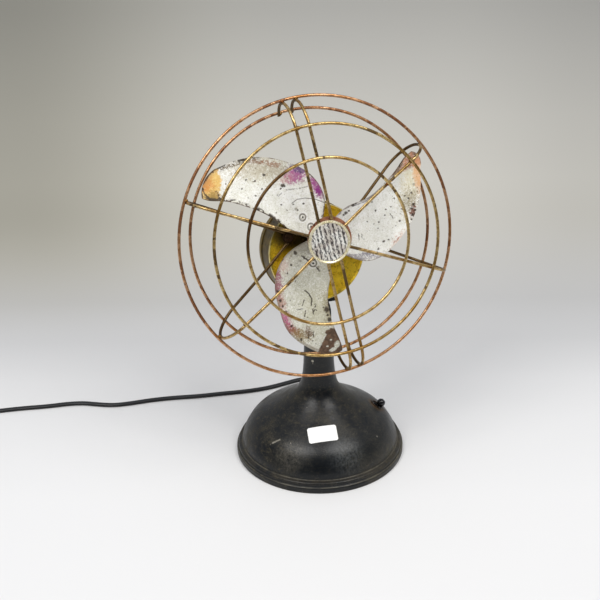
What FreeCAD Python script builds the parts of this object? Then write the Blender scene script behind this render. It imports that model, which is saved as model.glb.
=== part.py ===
import FreeCAD, Part
import math
import os

# Small vintage mains desk fan: cast bell base with an integral stem, a motor head that tilts
# on one bolt, a three-blade rotor and a welded wire guard.
# Frame: millimetres, +Z up, origin at the centre of the base's rest face, the head faces -Y.

V = FreeCAD.Vector

# ---------------------------------------------------------------- driving dimensions (mm)
BASE_R = 92.5            # foot radius
WALL = 4.0               # casting wall
STEM_BORE_R = 4.6        # wiring bore up the stem
PIVOT_Z = 169.3          # tilt bolt height
EAR_R = 10.5             # clevis ear radius
EAR_OUT = 11.5           # half width over the ears
LUG_T = 9.0              # tilt lug thickness
SIDE_GAP = 0.3           # lug to ear, each side
BOLT_R = 3.0             # tilt bolt radius
TILT0 = 14.9             # head elevation at rest, degrees
HEAD_X = -3.5            # blade axis, left of the stem's centre
HEAD_Z = 258.35          # blade axis height over the stem

WIRE_R = 1.55            # guard wire radius
RIM_R, RIM_D = 142.5, 20.9       # widest ring: radius, distance in front of the head origin
RIM_U, RIM_V = -1.3, -0.9        # its centre, slightly off like a hand-welded ring
REAR_U, REAR_V = 0.0, 0.8
REAR_R, REAR_D = 127.4, -6.29    # rear ring
OUTER_R, OUTER_D = 115.3, 51.95  # outer front ring
INNER_R, INNER_D = 82.7, 54.45   # inner front ring
BOW_R = 28.4             # bend radius of a guard wire round the rim
BOW_X = 139.55           # how far out a guard wire reaches
FRONT_D = 47.6           # guard wire plane at the front corner
BACK_D = -8.0            # guard wire plane at the back corner
PAIR_ANG = 98.1          # direction of the two long wires, degrees from +u
PAIR_OFF = (6.15, -7.6)  # how far each passes from the blade axis
TRIM_TOP, TRIM_LOW = 124.6, 124.2    # where their cut ends stop
# side wires: direction at the badge, at the front bend and at the rear bend, degrees from +u
SPOKES = {"left": (158.3, 158.4, 158.7), "low_left": (218.5, 218.0, 217.6), "right": (-21.1, -21.5, -22.0), "up_right": (37.5, 35.6, 35.8)}
GUARD_SCREW_U, GUARD_SCREW_V = 29.0, 1.0
EYE_D = 2.75             # wire centre plane over the housing face

DRUM_R = 51.5            # motor housing radius
DRUM_U, DRUM_V = 1.6, -19.0      # housing centre, seen from the shaft
DRUM_FRONT, DRUM_BACK = 1.0, -29.0
SHEET = 1.2              # pressed steel thickness
COVER_BACK = -60.0       # rear end of the rear cover

SHAFT_R = 3.0
RUN_FIT = 0.04           # radial running clearance
ROTOR_R = 15.0
AIR_GAP = 0.5
STACK_FRONT, STACK_BACK = -14.0, -34.0

BLADE_T = 1.0
BLADE_ROOT = (127.0, 7.0, 247.0)
RIVET_RADII = (14.2, 27.4)

BADGE_R = 21.5
BACK_DISC = 51.3        # front face of the disc behind the badge
BADGE_D = 54.6           # badge's back face

SWITCH_AZ = -7.0         # switch, degrees from +X
SWITCH_RAD, SWITCH_Z = 65.0, 44.85
EXIT_AZ = 62.0           # cord exit, degrees from +X

CORD_R = 2.4             # plain tube of the flat flex

# ---------------------------------------------------------------- helpers


def rot(axis, deg):
    return FreeCAD.Rotation(axis, deg)


HEAD_PL = FreeCAD.Placement(V(HEAD_X, 0, HEAD_Z), rot(V(1, 0, 0), 90.0 - TILT0))


def head(shape):
    """Move a shape from head coordinates (u right, v up, d forward) to the part's frame."""
    s = shape.copy()
    s.Placement = HEAD_PL.multiply(s.Placement)
    return s


def cyl(r, z0, z1, x=0.0, y=0.0):
    return Part.makeCylinder(r, z1 - z0, V(x, y, z0))


def ring(r_out, r_in, z0, z1, x=0.0, y=0.0):
    return cyl(r_out, z0, z1, x, y).cut(cyl(r_in, z0 - 1, z1 + 1, x, y))


def box(x0, x1, y0, y1, z0, z1):
    return Part.makeBox(x1 - x0, y1 - y0, z1 - z0, V(x0, y0, z0))


def revolve(pts, x=0.0, y=0.0):
    """Solid of revolution about Z from a closed list of (radius, z)."""
    w = Part.makePolygon([V(p[0], 0, p[1]) for p in pts] + [V(pts[0][0], 0, pts[0][1])])
    s = Part.Face(w).revolve(V(0, 0, 0), V(0, 0, 1), 360)
    s = Part.Solid(s) if s.ShapeType != "Solid" else s
    s.translate(V(x, y, 0))
    return s


def revolve_edges(edges):
    f = Part.Face(Part.Wire(Part.__sortEdges__(edges)))
    return f.revolve(V(0, 0, 0), V(0, 0, 1), 360)


def one(shape):
    """The single solid in a boolean result."""
    sol = sorted(shape.Solids, key=lambda s: -s.Volume)
    return sol[0]


def path_wire(points, radii):
    """Straight runs joined by tangent arcs. radii has one entry per inner point."""
    edges = []
    cur = points[0]
    for i in range(1, len(points) - 1):
        p, q, n = points[i - 1], points[i], points[i + 1]
        a = V(p - q).normalize()
        b = V(n - q).normalize()
        half = math.pi / 2 - a.getAngle(b) / 2      # half of the turn
        r = radii[i - 1]
        t = r * math.tan(half)
        s = q + a * t
        e = q + b * t
        bis = (a + b).normalize()
        c = q + bis * (r / math.cos(half))
        m = c - bis * r
        if (s - cur).Length > 1e-4:
            edges.append(Part.LineSegment(cur, s).toShape())
        edges.append(Part.Arc(s, m, e).toShape())
        cur = e
    edges.append(Part.LineSegment(cur, points[-1]).toShape())
    return Part.Wire(edges)


def tube(points, radii, r):
    w = path_wire(points, radii)
    d = (points[1] - points[0]).normalize()
    c = Part.Wire([Part.makeCircle(r, points[0], d)])
    s = w.makePipeShell([c], True, False)
    return s if s.ShapeType == "Solid" else Part.Solid(s)


def prism(pts, z0, z1):
    w = Part.makePolygon([V(p[0], p[1], z0) for p in pts] + [V(pts[0][0], pts[0][1], z0)])
    return Part.Face(w).extrude(V(0, 0, z1 - z0))


def hexagon(af, z0, z1, x=0.0, y=0.0):
    r = af / math.sqrt(3)
    return prism([(x + r * math.cos(math.radians(60 * k)), y + r * math.sin(math.radians(60 * k))) for k in range(6)], z0, z1)


def fuse(items):
    s = items[0]
    return s.multiFuse(items[1:]).removeSplitter() if len(items) > 1 else s


def screw(r_head, h_head, r_shank, length, slot=True):
    """Cheese head at z 0..h, shank down to -length."""
    hd = cyl(r_head, 0, h_head)
    try:
        hd = hd.makeFillet(h_head * 0.35, [e for e in hd.Edges if abs(e.CenterOfMass.z - h_head) < 1e-6 and len(e.Vertexes) == 1])
    except Exception:
        pass
    s = hd.fuse(cyl(r_shank, -length, 0.01))
    if slot:
        s = s.cut(box(-r_head - 1, r_head + 1, -0.45, 0.45, h_head - 0.7, h_head + 1))
    return one(s.removeSplitter())


def oriented(shape, pos, direction, spin=0.0):
    """Put a shape's +Z along direction at pos."""
    s = shape.copy()
    r = FreeCAD.Rotation(V(0, 0, 1), direction)
    s.Placement = FreeCAD.Placement(pos, r.multiply(rot(V(0, 0, 1), spin)))
    return s


PARTS = {}


def add(name, shape):
    if isinstance(shape, (list, tuple)):
        shape = Part.makeCompound([one(s) for s in shape])
    PARTS[name] = shape


# ---------------------------------------------------------------- base casting
# Outer profile of the bell, from the foot to the stem.
DOME = [(85.9, 13.2), (84.9, 19.0), (82.6, 24.6), (79.4, 30.4), (75.3, 36.2), (70.1, 41.2), (64.5, 45.2),
        (58.7, 48.8), (48.4, 55.3), (38.2, 62.3), (29.7, 69.3), (23.3, 76.6), (19.9, 83.8), (18.35, 91.0),
        (17.35, 98.5), (16.75, 106.0), (16.3, 114.0), (15.8, 128.0), (14.9, 148.0)]
INNER = [(82.0, 13.2), (80.9, 18.4), (78.6, 23.0), (75.7, 27.8), (71.9, 32.6), (67.1, 37.2), (61.9, 41.2),
         (56.2, 44.6), (45.9, 50.8), (35.8, 57.4), (26.8, 64.4), (18.6, 71.6), (10.5, 77.0)]


def bspline(pts):
    b = Part.BSplineCurve()
    b.interpolate([V(p[0], 0, p[1]) for p in pts])
    return b.toShape()


def seg(a, b):
    return Part.LineSegment(V(a[0], 0, a[1]), V(b[0], 0, b[1])).toShape()


def arc3(a, m, b):
    return Part.Arc(V(a[0], 0, a[1]), V(m[0], 0, m[1]), V(b[0], 0, b[1])).toShape()


outer = [
    seg((0, 0), (91.7, 0)),
    arc3((91.7, 0), (92.27, 0.23), (92.5, 0.8)),
    seg((92.5, 0.8), (92.5, 5.0)),
    arc3((92.5, 5.0), (92.05, 6.4), (90.9, 7.1)),
    seg((90.9, 7.1), (90.4, 7.4)),
    seg((90.4, 7.4), (90.4, 9.5)),
    arc3((90.4, 9.5), (89.9, 10.9), (88.7, 11.6)),
    seg((88.7, 11.6), (86.9, 12.2)),
    arc3((86.9, 12.2), (86.2, 12.5), (85.9, 13.2)),
    bspline(DOME),
    seg((14.9, 148.0), (14.9, 149.0)),
    seg((14.9, 149.0), (0, 149.0)),
    seg((0, 149.0), (0, 0)),
]
inner = [
    seg((0, -1), (82.0, -1)),
    seg((82.0, -1), (82.0, 13.2)),
    bspline(INNER),
    seg((10.5, 77.0), (0, 77.0)),
    seg((0, 77.0), (0, -1)),
]
bell = one(revolve_edges(outer)).cut(one(revolve_edges(inner)))
bell = bell.cut(cyl(STEM_BORE_R, 70, 146))
# plate seat
bell = bell.cut(cyl(85.2, -1, 1.6))
# three bosses for the bottom plate
BOSS_R, BOSS_AZ = 76.0, (30, 150, 270)
for a in BOSS_AZ:
    bx, by = BOSS_R * math.cos(math.radians(a)), BOSS_R * math.sin(math.radians(a))
    bell = bell.fuse(cyl(5.0, 1.6, 26, bx, by))
    bell = bell.cut(cyl(1.9, 1.0, 16, bx, by))

# Clevis on the stem: a flat-sided head with a rounded top and a slot for the lug.
ear_side = EAR_OUT
neck = cyl(14.9, 148.0, 158.0).common(box(-14.9, 14.9, -14.9, 14.9, 148, 158))
cheek = Part.makeCylinder(EAR_R, 2 * ear_side, V(-ear_side, 0, PIVOT_Z), V(1, 0, 0))
post = box(-ear_side, ear_side, -EAR_R, EAR_R, 150, PIVOT_Z)
# shoulder that narrows from the round stem to the flat-sided clevis
lo = Part.Wire([Part.makeCircle(14.9, V(0, 0, 148.6))])


def rounded_rect(hx, hy, r, z):
    k = r * (1 - math.sqrt(0.5))
    e = []
    P = [(hx - r, -hy), (hx, -hy + r), (hx, hy - r), (hx - r, hy), (-hx + r, hy), (-hx, hy - r), (-hx, -hy + r), (-hx + r, -hy)]
    M = [(hx - k, -hy + k), (hx - k, hy - k), (-hx + k, hy - k), (-hx + k, -hy + k)]
    for c in range(4):
        a, b = P[2 * c], P[2 * c + 1]
        e.append(Part.Arc(V(a[0], a[1], z), V(M[c][0], M[c][1], z), V(b[0], b[1], z)).toShape())
        n = P[(2 * c + 2) % 8]
        e.append(Part.LineSegment(V(b[0], b[1], z), V(n[0], n[1], z)).toShape())
    return Part.Wire(e)


shoulder = Part.makeLoft([lo, rounded_rect(ear_side, EAR_R, 4.0, 158.0)], True, True)
post = box(-ear_side, ear_side, -EAR_R, EAR_R, 157.9, PIVOT_Z)
clevis = fuse([shoulder, post, cheek])
try:
    sel = [e for e in clevis.Edges if abs(abs(e.CenterOfMass.x) - ear_side) < 0.01 and e.CenterOfMass.z > 160]
    clevis = clevis.makeFillet(1.2, sel)
except Exception:
    pass
slot_h = LUG_T / 2 + SIDE_GAP
SLOT_Z = PIVOT_Z - EAR_R - 1.6
clevis = clevis.cut(box(-slot_h, slot_h, -30, 30, SLOT_Z, PIVOT_Z + 30))
clevis = clevis.cut(Part.makeCylinder(BOLT_R + 0.02, 60, V(-30, 0, PIVOT_Z), V(1, 0, 0)))
clevis = clevis.cut(Part.makeCylinder(5.6, 10, V(ear_side - 3.2, 0, PIVOT_Z), V(1, 0, 0)))
casting = one(bell.fuse(clevis).removeSplitter())
# wiring outlet at the back of the neck
casting = casting.cut(Part.makeCylinder(3.6, 30, V(0, 0, 139), V(0, 1, 0)))

# switch seat: a flat bored through the bell
saz = math.radians(SWITCH_AZ)
SW_N = V(0.62 * math.cos(saz), 0.62 * math.sin(saz), 0.785).normalize()
SW_P = V(SWITCH_RAD * math.cos(saz), SWITCH_RAD * math.sin(saz), SWITCH_Z)
casting = casting.cut(oriented(cyl(6.05, -14, 8), SW_P, SW_N))
casting = casting.cut(oriented(cyl(7.9, -0.22, 12), SW_P, SW_N))
# cord hole
eaz = math.radians(EXIT_AZ)
EX_E = V(math.cos(eaz), math.sin(eaz), 0)
EX_DIR = V(math.cos(eaz) * math.cos(0.2618), math.sin(eaz) * math.cos(0.2618), -math.sin(0.2618))
EX_TIP = V(49.6, 93.2, 11.0)             # where the flex leaves its sleeve
EX_WALL = EX_TIP - EX_DIR * 21.5
casting = casting.cut(oriented(cyl(4.6, -14, 10), EX_WALL, EX_DIR))
casting = one(casting)
add("base_casting", casting)

# ---------------------------------------------------------------- base plate and screws
plate = cyl(84.9, 0.0, 1.5)
for a in BOSS_AZ:
    bx, by = BOSS_R * math.cos(math.radians(a)), BOSS_R * math.sin(math.radians(a))
    plate = plate.cut(Part.makeCone(3.7, 2.0, 1.7, V(bx, by, -0.1)))
add("base_plate", one(plate))
scr = []
for a in BOSS_AZ:
    bx, by = BOSS_R * math.cos(math.radians(a)), BOSS_R * math.sin(math.radians(a))
    s = Part.makeCone(3.4, 1.85, 1.45, V(bx, by, 0.1)).fuse(cyl(1.8, 1.5, 13, bx, by))
    s = s.cut(box(bx - 4, bx + 4, by - 0.4, by + 0.4, -0.5, 0.7))
    scr.append(s)
add("base_plate_screws", scr)

# ---------------------------------------------------------------- toggle switch
sw = box(-8, 8, -11, 11, -24, -6.5).fuse(cyl(5.9, -6.6, -0.5))
sw = sw.cut(Part.makeCone(1.8, 3.9, 7.2, V(0, 0, -7.0)))
sw = sw.cut(Part.makeSphere(2.9, V(0, 0, -6.2)))
for x in (-4.5, 4.5):
    sw = sw.fuse(box(x - 0.4, x + 0.4, -2.5, 2.5, -30, -23.9))
add("switch_body", oriented(one(sw), SW_P, SW_N, 0))
nut = revolve([(5.95, -0.2), (7.6, -0.2), (7.6, 0.1), (7.1, 0.45), (6.5, 0.5), (5.95, 0.35)])
for k in (0, 1):
    nut = nut.cut(box(5.0, 8.0, -0.6, 0.6, 0.15, 1.0) if k else box(-8.0, -5.0, -0.6, 0.6, 0.15, 1.0))
add("switch_collar", oriented(one(nut), SW_P, SW_N, 0))
lev = revolve([(0, -8.7), (1.6, -8.1), (2.45, -6.5), (2.2, -5.2), (1.5, -4.2), (1.35, 0.0), (1.6, 3.0), (0, 3.0)])
ball = Part.makeSphere(4.6, V(0, 0, 5.0))
ball = ball.cut(cyl(6, 9.2, 12))
lev = one(lev.fuse(ball))
# lean of the lever at rest: out from the stem, towards the foot of the bell
SW_TAN = V(math.sin(saz), -math.cos(saz), 0)      # lever axis, horizontal and tangent to the bell
LEAN = 13.0
LEV_PIVOT = SW_P + SW_N * (-6.2)
lever = oriented(lev, SW_P, SW_N)
lever.rotate(LEV_PIVOT, SW_TAN, -LEAN)
add("switch_lever", lever)

# terminal block on the plate
tb = box(-26, 2, -12, 0, 1.6, 13.5)
for x in (-19, -5):
    tb = tb.cut(cyl(2.2, 5, 20, x, -6)).cut(Part.makeCylinder(1.6, 20, V(x, -16, 6.5), V(0, 1, 0)))
add("terminal_block", one(tb))
add("terminal_screws", [cyl(2.0, 7.5, 12.0, x, -6).cut(box(x - 3, x + 3, -6.35, -5.65, 11.2, 13)) for x in (-19, -5)])

# ---------------------------------------------------------------- cord sleeve, flex, coil, plug
sleeve = revolve([(2.55, -11.0), (4.5, -11.0), (4.5, -8.6), (4.45, -8.6), (4.45, 0.6), (7.0, 0.8), (7.0, 3.0), (5.3, 3.6), (4.9, 6.0), (3.55, 21.5), (2.55, 21.5)])
sleeve = oriented(sleeve, EX_WALL, EX_DIR)
add("cord_sleeve", one(sleeve.cut(casting)))

ROUTE = [(49.6, 93.2, 11.0), (54.0, 101.5, 8.5), (56.3, 111.5, 6.1), (54.9, 121.8, 4.4), (49.4, 130.9, 3.2), (40.6, 137.6, 2.55),
         (29.4, 141.0, 2.5), (17.5, 141.3, 2.5), (5.0, 139.2, 2.5), (-11.0, 136.2, 2.5), (-30.0, 134.4, 2.5),
         (-53.0, 135.6, 2.5), (-79.0, 139.6, 2.5), (-107.0, 142.6, 2.5), (-135.0, 148.4, 2.5), (-162.0, 151.9, 2.5),
         (-187.0, 152.4, 2.5), (-207.0, 154.2, 2.5), (-225.0, 162.2, 2.5), (-242.0, 171.4, 2.5), (-261.0, 175.4, 2.5),
         (-284.0, 177.2, 2.5), (-311.0, 182.2, 2.5), (-338.0, 185.2, 2.5), (-362.0, 187.0, 2.5), (-383.0, 186.6, 2.5)]


def route_radii(pts, label):
    out = []
    for i in range(1, len(pts) - 1):
        a, b = V(*pts[i - 1]) - V(*pts[i]), V(*pts[i + 1]) - V(*pts[i])
        turn = math.pi - a.getAngle(b)
        out.append(0.45 * min(a.Length, b.Length) / math.tan(turn / 2))
    print(label, "radii", [round(r) for r in out], "turns", [round(math.degrees(2 * math.atan(0.45 * min((V(*pts[i - 1]) - V(*pts[i])).Length, (V(*pts[i + 1]) - V(*pts[i])).Length) / out[i - 1])), 1) for i in range(1, len(pts) - 1)])
    return out


def flex(pts, label):
    rad = route_radii(pts, label)
    p = [V(*q) for q in pts]
    s = tube(p, rad, CORD_R)
    ln = path_wire(p, rad).Length
    print(label, "length %.1f volume/(area*length) %.4f valid %s" % (ln, s.Volume / (math.pi * CORD_R ** 2 * ln), s.isValid()))
    return s


add("supply_cord", flex(ROUTE, "supply_cord"))
COIL_X, COIL_Y = -402.0, 152.0
coil = ring(42.5, 24.0, 0.1, 13.5, COIL_X, COIL_Y)
ce = [e for e in coil.Edges if e.Curve.TypeId == "Part::GeomCircle" and len(e.Vertexes) == 1]
coil = coil.makeFillet(2.4, ce)
coil = coil.cut(PARTS["supply_cord"])
add("supply_cord_coil", one(coil))

TAIL = [(-437.5, 139.0, 2.5), (-439.6, 126.0, 2.5), (-439.2, 113.0, 2.5), (-436.5, 101.0, 4.2), (-434.6, 90.0, 7.0)]
tail = flex(TAIL, "supply_cord_tail")
coil_face = ring(42.5, 24.0, 0.1, 13.5, COIL_X, COIL_Y)
add("supply_cord_tail", one(tail.cut(coil_face)))

# plug: round-shouldered two-pin body lying on the floor, pins towards -Y
PLUG = V(-433.5, 84.0, 9.0)
PDIR = V(0.17, -1.0, 0).normalize()
pb = revolve([(0, 0), (4.3, 0), (5.0, 3.0), (5.6, 9.0), (7.2, 12.5), (8.9, 15.0), (8.9, 30.5), (8.2, 32.0), (0, 32.0)])
pb = pb.fuse(box(-13.5, 13.5, -8.6, 8.6, 14.6, 31.6))
pb = pb.common(Part.makeCone(6.0, 26.0, 20.0, V(0, 0, 0)).fuse(cyl(26, 20, 40)))
pb = pb.cut(box(-30, 30, 8.7, 20, -5, 45)).cut(box(-30, 30, -20, -8.7, -5, 45))
try:
    pb = pb.removeSplitter()
except Exception:
    pass
pb = one(pb.cut(cyl(2.42, -1, 3.0)))
PLUG_R = FreeCAD.Placement(PLUG, FreeCAD.Rotation(V(1, 0, 0), 90).multiply(FreeCAD.Rotation(V(0, 1, 0), 9.6)))
pb.Placement = PLUG_R
add("plug_body", pb)
pins = []
for x in (-6.35, 6.35):
    p = cyl(2.0, 24.0, 49.0, x, 0)
    p = p.makeFillet(1.2, [e for e in p.Edges if abs(e.CenterOfMass.z - 49.0) < 1e-6 and len(e.Vertexes) == 1])
    p.Placement = PLUG_R.multiply(p.Placement)
    pins.append(p)
PARTS["plug_body"] = one(PARTS["plug_body"].cut(Part.makeCompound(pins)))
add("plug_pins", pins)

# ---------------------------------------------------------------- tilt joint
bolt = Part.makeCylinder(5.3, 2.6, V(EAR_OUT - 3.15, 0, PIVOT_Z), V(1, 0, 0))
bolt = bolt.cut(box(EAR_OUT - 1.3, EAR_OUT + 3, -8, 8, PIVOT_Z - 0.6, PIVOT_Z + 0.6))
bolt = bolt.fuse(Part.makeCylinder(BOLT_R, EAR_OUT * 2 + 12.0, V(EAR_OUT - 3.1, 0, PIVOT_Z), V(-1, 0, 0)))
add("tilt_bolt", one(bolt.removeSplitter()))
add("tilt_washer", ring(7.4, 3.1, 0, 1.2).copy())
PARTS["tilt_washer"] = oriented(PARTS["tilt_washer"], V(-EAR_OUT - 0.02, 0, PIVOT_Z), V(-1, 0, 0))
tn = revolve([(BOLT_R + 0.05, 0), (5.4, 0), (5.4, 2.0), (7.2, 2.6), (7.4, 3.2), (7.4, 8.8), (6.8, 9.6), (BOLT_R + 0.05, 9.6)])
for k in range(24):
    a = math.radians(15 * k)
    tn = tn.cut(cyl(0.45, 2.0, 10.0, 7.5 * math.cos(a), 7.5 * math.sin(a)))
for sgn in (-1, 1):
    tn = tn.fuse(box(-1.3, 1.3, 6.6, 13.0, 3.0, 9.0) if sgn > 0 else box(-1.3, 1.3, -13.0, -6.6, 3.0, 9.0))
add("tilt_nut", oriented(one(tn), V(-EAR_OUT - 1.5, 0, PIVOT_Z), V(-1, 0, 0), 60))

# lug on the motor housing, in head coordinates
PU = -HEAD_X
pv = (PIVOT_Z - HEAD_Z) * math.cos(math.radians(TILT0))
pd = (PIVOT_Z - HEAD_Z) * math.sin(math.radians(TILT0))
lug = Part.makeCylinder(EAR_R - 0.4, LUG_T, V(PU - LUG_T / 2, pv, pd), V(1, 0, 0))
poly = [(DRUM_V - DRUM_R + 3.0, -28.0), (DRUM_V - DRUM_R + 3.0, -4.0), (DRUM_V - DRUM_R - 3.0, -6.0), (pv - 1.0, pd + EAR_R - 0.5), (pv - 1.0, pd - EAR_R + 0.5), (DRUM_V - DRUM_R - 3.0, -29.0)]
w = Part.makePolygon([V(PU - LUG_T / 2, p[0], p[1]) for p in poly + [poly[0]]])
lug = lug.fuse(Part.Face(w).extrude(V(LUG_T, 0, 0)))
saddle = box(PU - 15, PU + 15, DRUM_V - DRUM_R - 3.0, DRUM_V - DRUM_R + 6.0, -28.0, -5.0)
lug = lug.fuse(saddle)
lug = lug.cut(cyl(DRUM_R + 0.02, -60, 20, DRUM_U, DRUM_V)).cut(cyl(DRUM_R + 1.1, -60, DRUM_BACK + 2.3, DRUM_U, DRUM_V))
lug = lug.cut(Part.makeCylinder(BOLT_R + 0.05, 60, V(PU - 30, pv, pd), V(1, 0, 0)))
lug_holes = [(PU - 10.5, -16.5), (PU + 10.5, -16.5)]
for (x, d) in lug_holes:
    lug = lug.cut(Part.makeCylinder(1.6, 30, V(x, DRUM_V - DRUM_R - 10, d), V(0, 1, 0)))
lug = one(lug.removeSplitter())
add("tilt_lug", head(lug))
ls = []
for (x, d) in lug_holes:
    s = screw(3.0, 1.8, 1.5, 6.4)
    s = oriented(s, V(x, DRUM_V - DRUM_R - 3.02, d), V(0, -1, 0))
    ls.append(head(s))
add("tilt_lug_screws", ls)

# ---------------------------------------------------------------- motor housing
c = (DRUM_U, DRUM_V)
R, t = DRUM_R, SHEET
COVER_SCREWS = [(DRUM_U - 34.0, DRUM_V - 3.0), (DRUM_U + 34.0, DRUM_V - 3.0)]
fh = revolve([(0, DRUM_FRONT), (R - 3.5, DRUM_FRONT), (R - 1.2, DRUM_FRONT - 0.6), (R - 0.2, DRUM_FRONT - 2.0), (R, DRUM_FRONT - 3.6),
              (R, DRUM_BACK + 2.2), (R + 0.9, DRUM_BACK + 1.6), (R + 0.9, DRUM_BACK), (R - t, DRUM_BACK),
              (R - t, DRUM_FRONT - 4.0), (R - t - 0.6, DRUM_FRONT - 2.2), (R - 3.6 - t, DRUM_FRONT - t), (0, DRUM_FRONT - t)], *c)
for (x, y) in COVER_SCREWS:
    fh = fh.fuse(cyl(3.2, DRUM_BACK - 2.0, DRUM_FRONT - t + 0.01, x, y)).cut(cyl(1.65, DRUM_BACK - 3.0, DRUM_BACK + 16.0, x, y))
fh = fh.cut(cyl(9.3, -6, 6))
for sgn in (-1, 1):
    fh = fh.cut(cyl(2.1, -6, 6, sgn * GUARD_SCREW_U, GUARD_SCREW_V))
for (x, d) in lug_holes:
    fh = fh.cut(Part.makeCylinder(1.6, 30, V(x, DRUM_V - DRUM_R - 10, d), V(0, 1, 0)))
add("motor_front_housing", head(one(fh)))

rc = revolve([(0, COVER_BACK), (26, COVER_BACK), (36, COVER_BACK + 1.4), (43, COVER_BACK + 5.0), (48, COVER_BACK + 10.6), (50.6, COVER_BACK + 17.5), (51.2, COVER_BACK + 24.0),
              (51.2, DRUM_BACK - 1.8), (52.2, DRUM_BACK - 1.4), (52.2, DRUM_BACK - 0.05), (50.1, DRUM_BACK - 0.05), (50.1, DRUM_BACK + 4.0), (49.0, DRUM_BACK + 4.0), (49.0, COVER_BACK + 24.4),
              (48.6, COVER_BACK + 18.2), (46.4, COVER_BACK + 11.9), (41.9, COVER_BACK + 6.7), (35.6, COVER_BACK + 2.7), (26, COVER_BACK + 1.3), (0, COVER_BACK + 1.3)], *c)
# cooling slots in the back
for k in range(-2, 3):
    w_ = 20.0 - 2.2 * abs(k)
    yy = DRUM_V + 11.0 * k / 1.6
    s = box(DRUM_U - w_, DRUM_U + w_, yy - 1.5, yy + 1.5, COVER_BACK - 3, COVER_BACK + 4)
    rc = rc.cut(s)
for (x, y) in COVER_SCREWS:
    rc = rc.cut(cyl(1.8, COVER_BACK - 5, COVER_BACK + 9, x, y)).cut(cyl(3.5, COVER_BACK - 5, COVER_BACK + 1.3, x, y))
add("motor_rear_cover", head(one(rc)))
cs = []
for (x, y) in COVER_SCREWS:
    s = screw(3.4, 2.2, 1.6, 36.0)
    s = oriented(s, V(x, y, COVER_BACK + 1.28), V(0, 0, -1))
    cs.append(head(s))
add("rear_cover_screws", cs)

# ---------------------------------------------------------------- motor
stack = prism([(-24, 21), (-18, 24), (18, 24), (24, 21), (27, 12), (27, -57), (-27, -57), (-27, 12)], STACK_BACK, STACK_FRONT)
stack = stack.cut(cyl(ROTOR_R + AIR_GAP, STACK_BACK - 1, STACK_FRONT + 1))
stack = stack.cut(box(-16.5, 16.5, -46.0, -25.0, STACK_BACK - 1, STACK_FRONT + 1))
STUDS = [(-21.5, 16.0), (21.5, 16.0), (-22.0, -30.0), (22.0, -30.0)]
for (x, y) in STUDS:
    stack = stack.cut(cyl(1.75, STACK_BACK - 1, STACK_FRONT + 1, x, y))
for sgn in (-1, 1):
    stack = stack.cut(box(sgn * 15.0 - 3.2, sgn * 15.0 + 3.2, 7.0 * sgn - 1.4, 7.0 * sgn + 1.4, STACK_BACK - 1, STACK_FRONT + 1))
add("stator_stack", head(one(stack)))

bob = box(-15.8, 15.8, -60.0, -43.0, STACK_BACK - 2.2, STACK_FRONT + 2.2).cut(box(-20, 20, -57.3, -45.7, STACK_BACK - 0.3, STACK_FRONT + 0.3))
fl = []
for x0 in (-15.8, 14.3):
    fl.append(box(x0, x0 + 1.5, -64.2, -38.6, STACK_BACK - 6.4, STACK_FRONT + 6.4).cut(box(-20, 20, -57.3, -45.7, STACK_BACK - 0.3, STACK_FRONT + 0.3)))
bob = one(fuse([bob] + fl))
add("coil_bobbin", head(bob))
cw = box(-14.2, 14.2, -63.4, -39.4, STACK_BACK - 5.8, STACK_FRONT + 5.8)
try:
    cw = cw.makeFillet(4.0, [e for e in cw.Edges if abs(e.BoundBox.XLength - 28.4) < 1e-3])
except Exception:
    pass
cw = cw.cut(box(-20, 20, -60.1, -42.9, STACK_BACK - 2.3, STACK_FRONT + 2.3))
add("field_coil", head(one(cw)))
sh = []
for sgn in (-1, 1):
    x0, y0 = sgn * 15.0, 7.0 * sgn
    a = box(x0 - 3.1, x0 + 3.1, y0 - 1.3, y0 + 1.3, STACK_BACK - 1.4, STACK_FRONT + 1.4)
    sh.append(head(a.common(box(-40, 40, -40, 40, -60, 0)).cut(cyl(ROTOR_R + AIR_GAP + 0.05, -60, 0))))
add("shading_bars", sh)


def bracket(z0, z1, zb0, zb1, foot, pillars):
    """Bearing bridge across the stator with a central socket."""
    s = prism([(-25.5, 11), (-25.5, 20), (-18, 22), (18, 22), (25.5, 20), (25.5, 11), (13, -10), (-13, -10)], z0, z1)
    s = s.fuse(cyl(9.0, zb0, zb1))
    s = s.cut(cyl(5.6, zb0 - 1, zb1 + 1))
    for (x, y) in STUDS[:2]:
        s = s.fuse(cyl(3.4, foot[0], foot[1], x, y))
        s = s.cut(cyl(1.75, z0 - 12, z1 + 12, x, y))
    if pillars:
        for sgn in (-1, 1):
            x, y = sgn * GUARD_SCREW_U, GUARD_SCREW_V
            s = s.fuse(prism([(x - 4.4, y - 3.4), (x + 4.4, y - 3.4), (x + 4.4, y + 14.0), (x - 4.4, y + 14.0)], z0, z1))
            s = s.fuse(cyl(4.4, z0, DRUM_FRONT - SHEET - 0.02, x, y)).cut(cyl(2.05, z0 - 1, 6, x, y))
    return one(s)


add("front_bearing_bracket", head(bracket(-9.5, -7.0, -9.5, 5.0, (STACK_FRONT, -7.0), True)))
add("rear_bearing_bracket", head(bracket(-41.0, -38.5, -50.0, -38.5, (-41.0, STACK_BACK), False)))


def bearing(z0, z1):
    s = ring(5.6, SHAFT_R + RUN_FIT, z0, z1)
    return s


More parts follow.
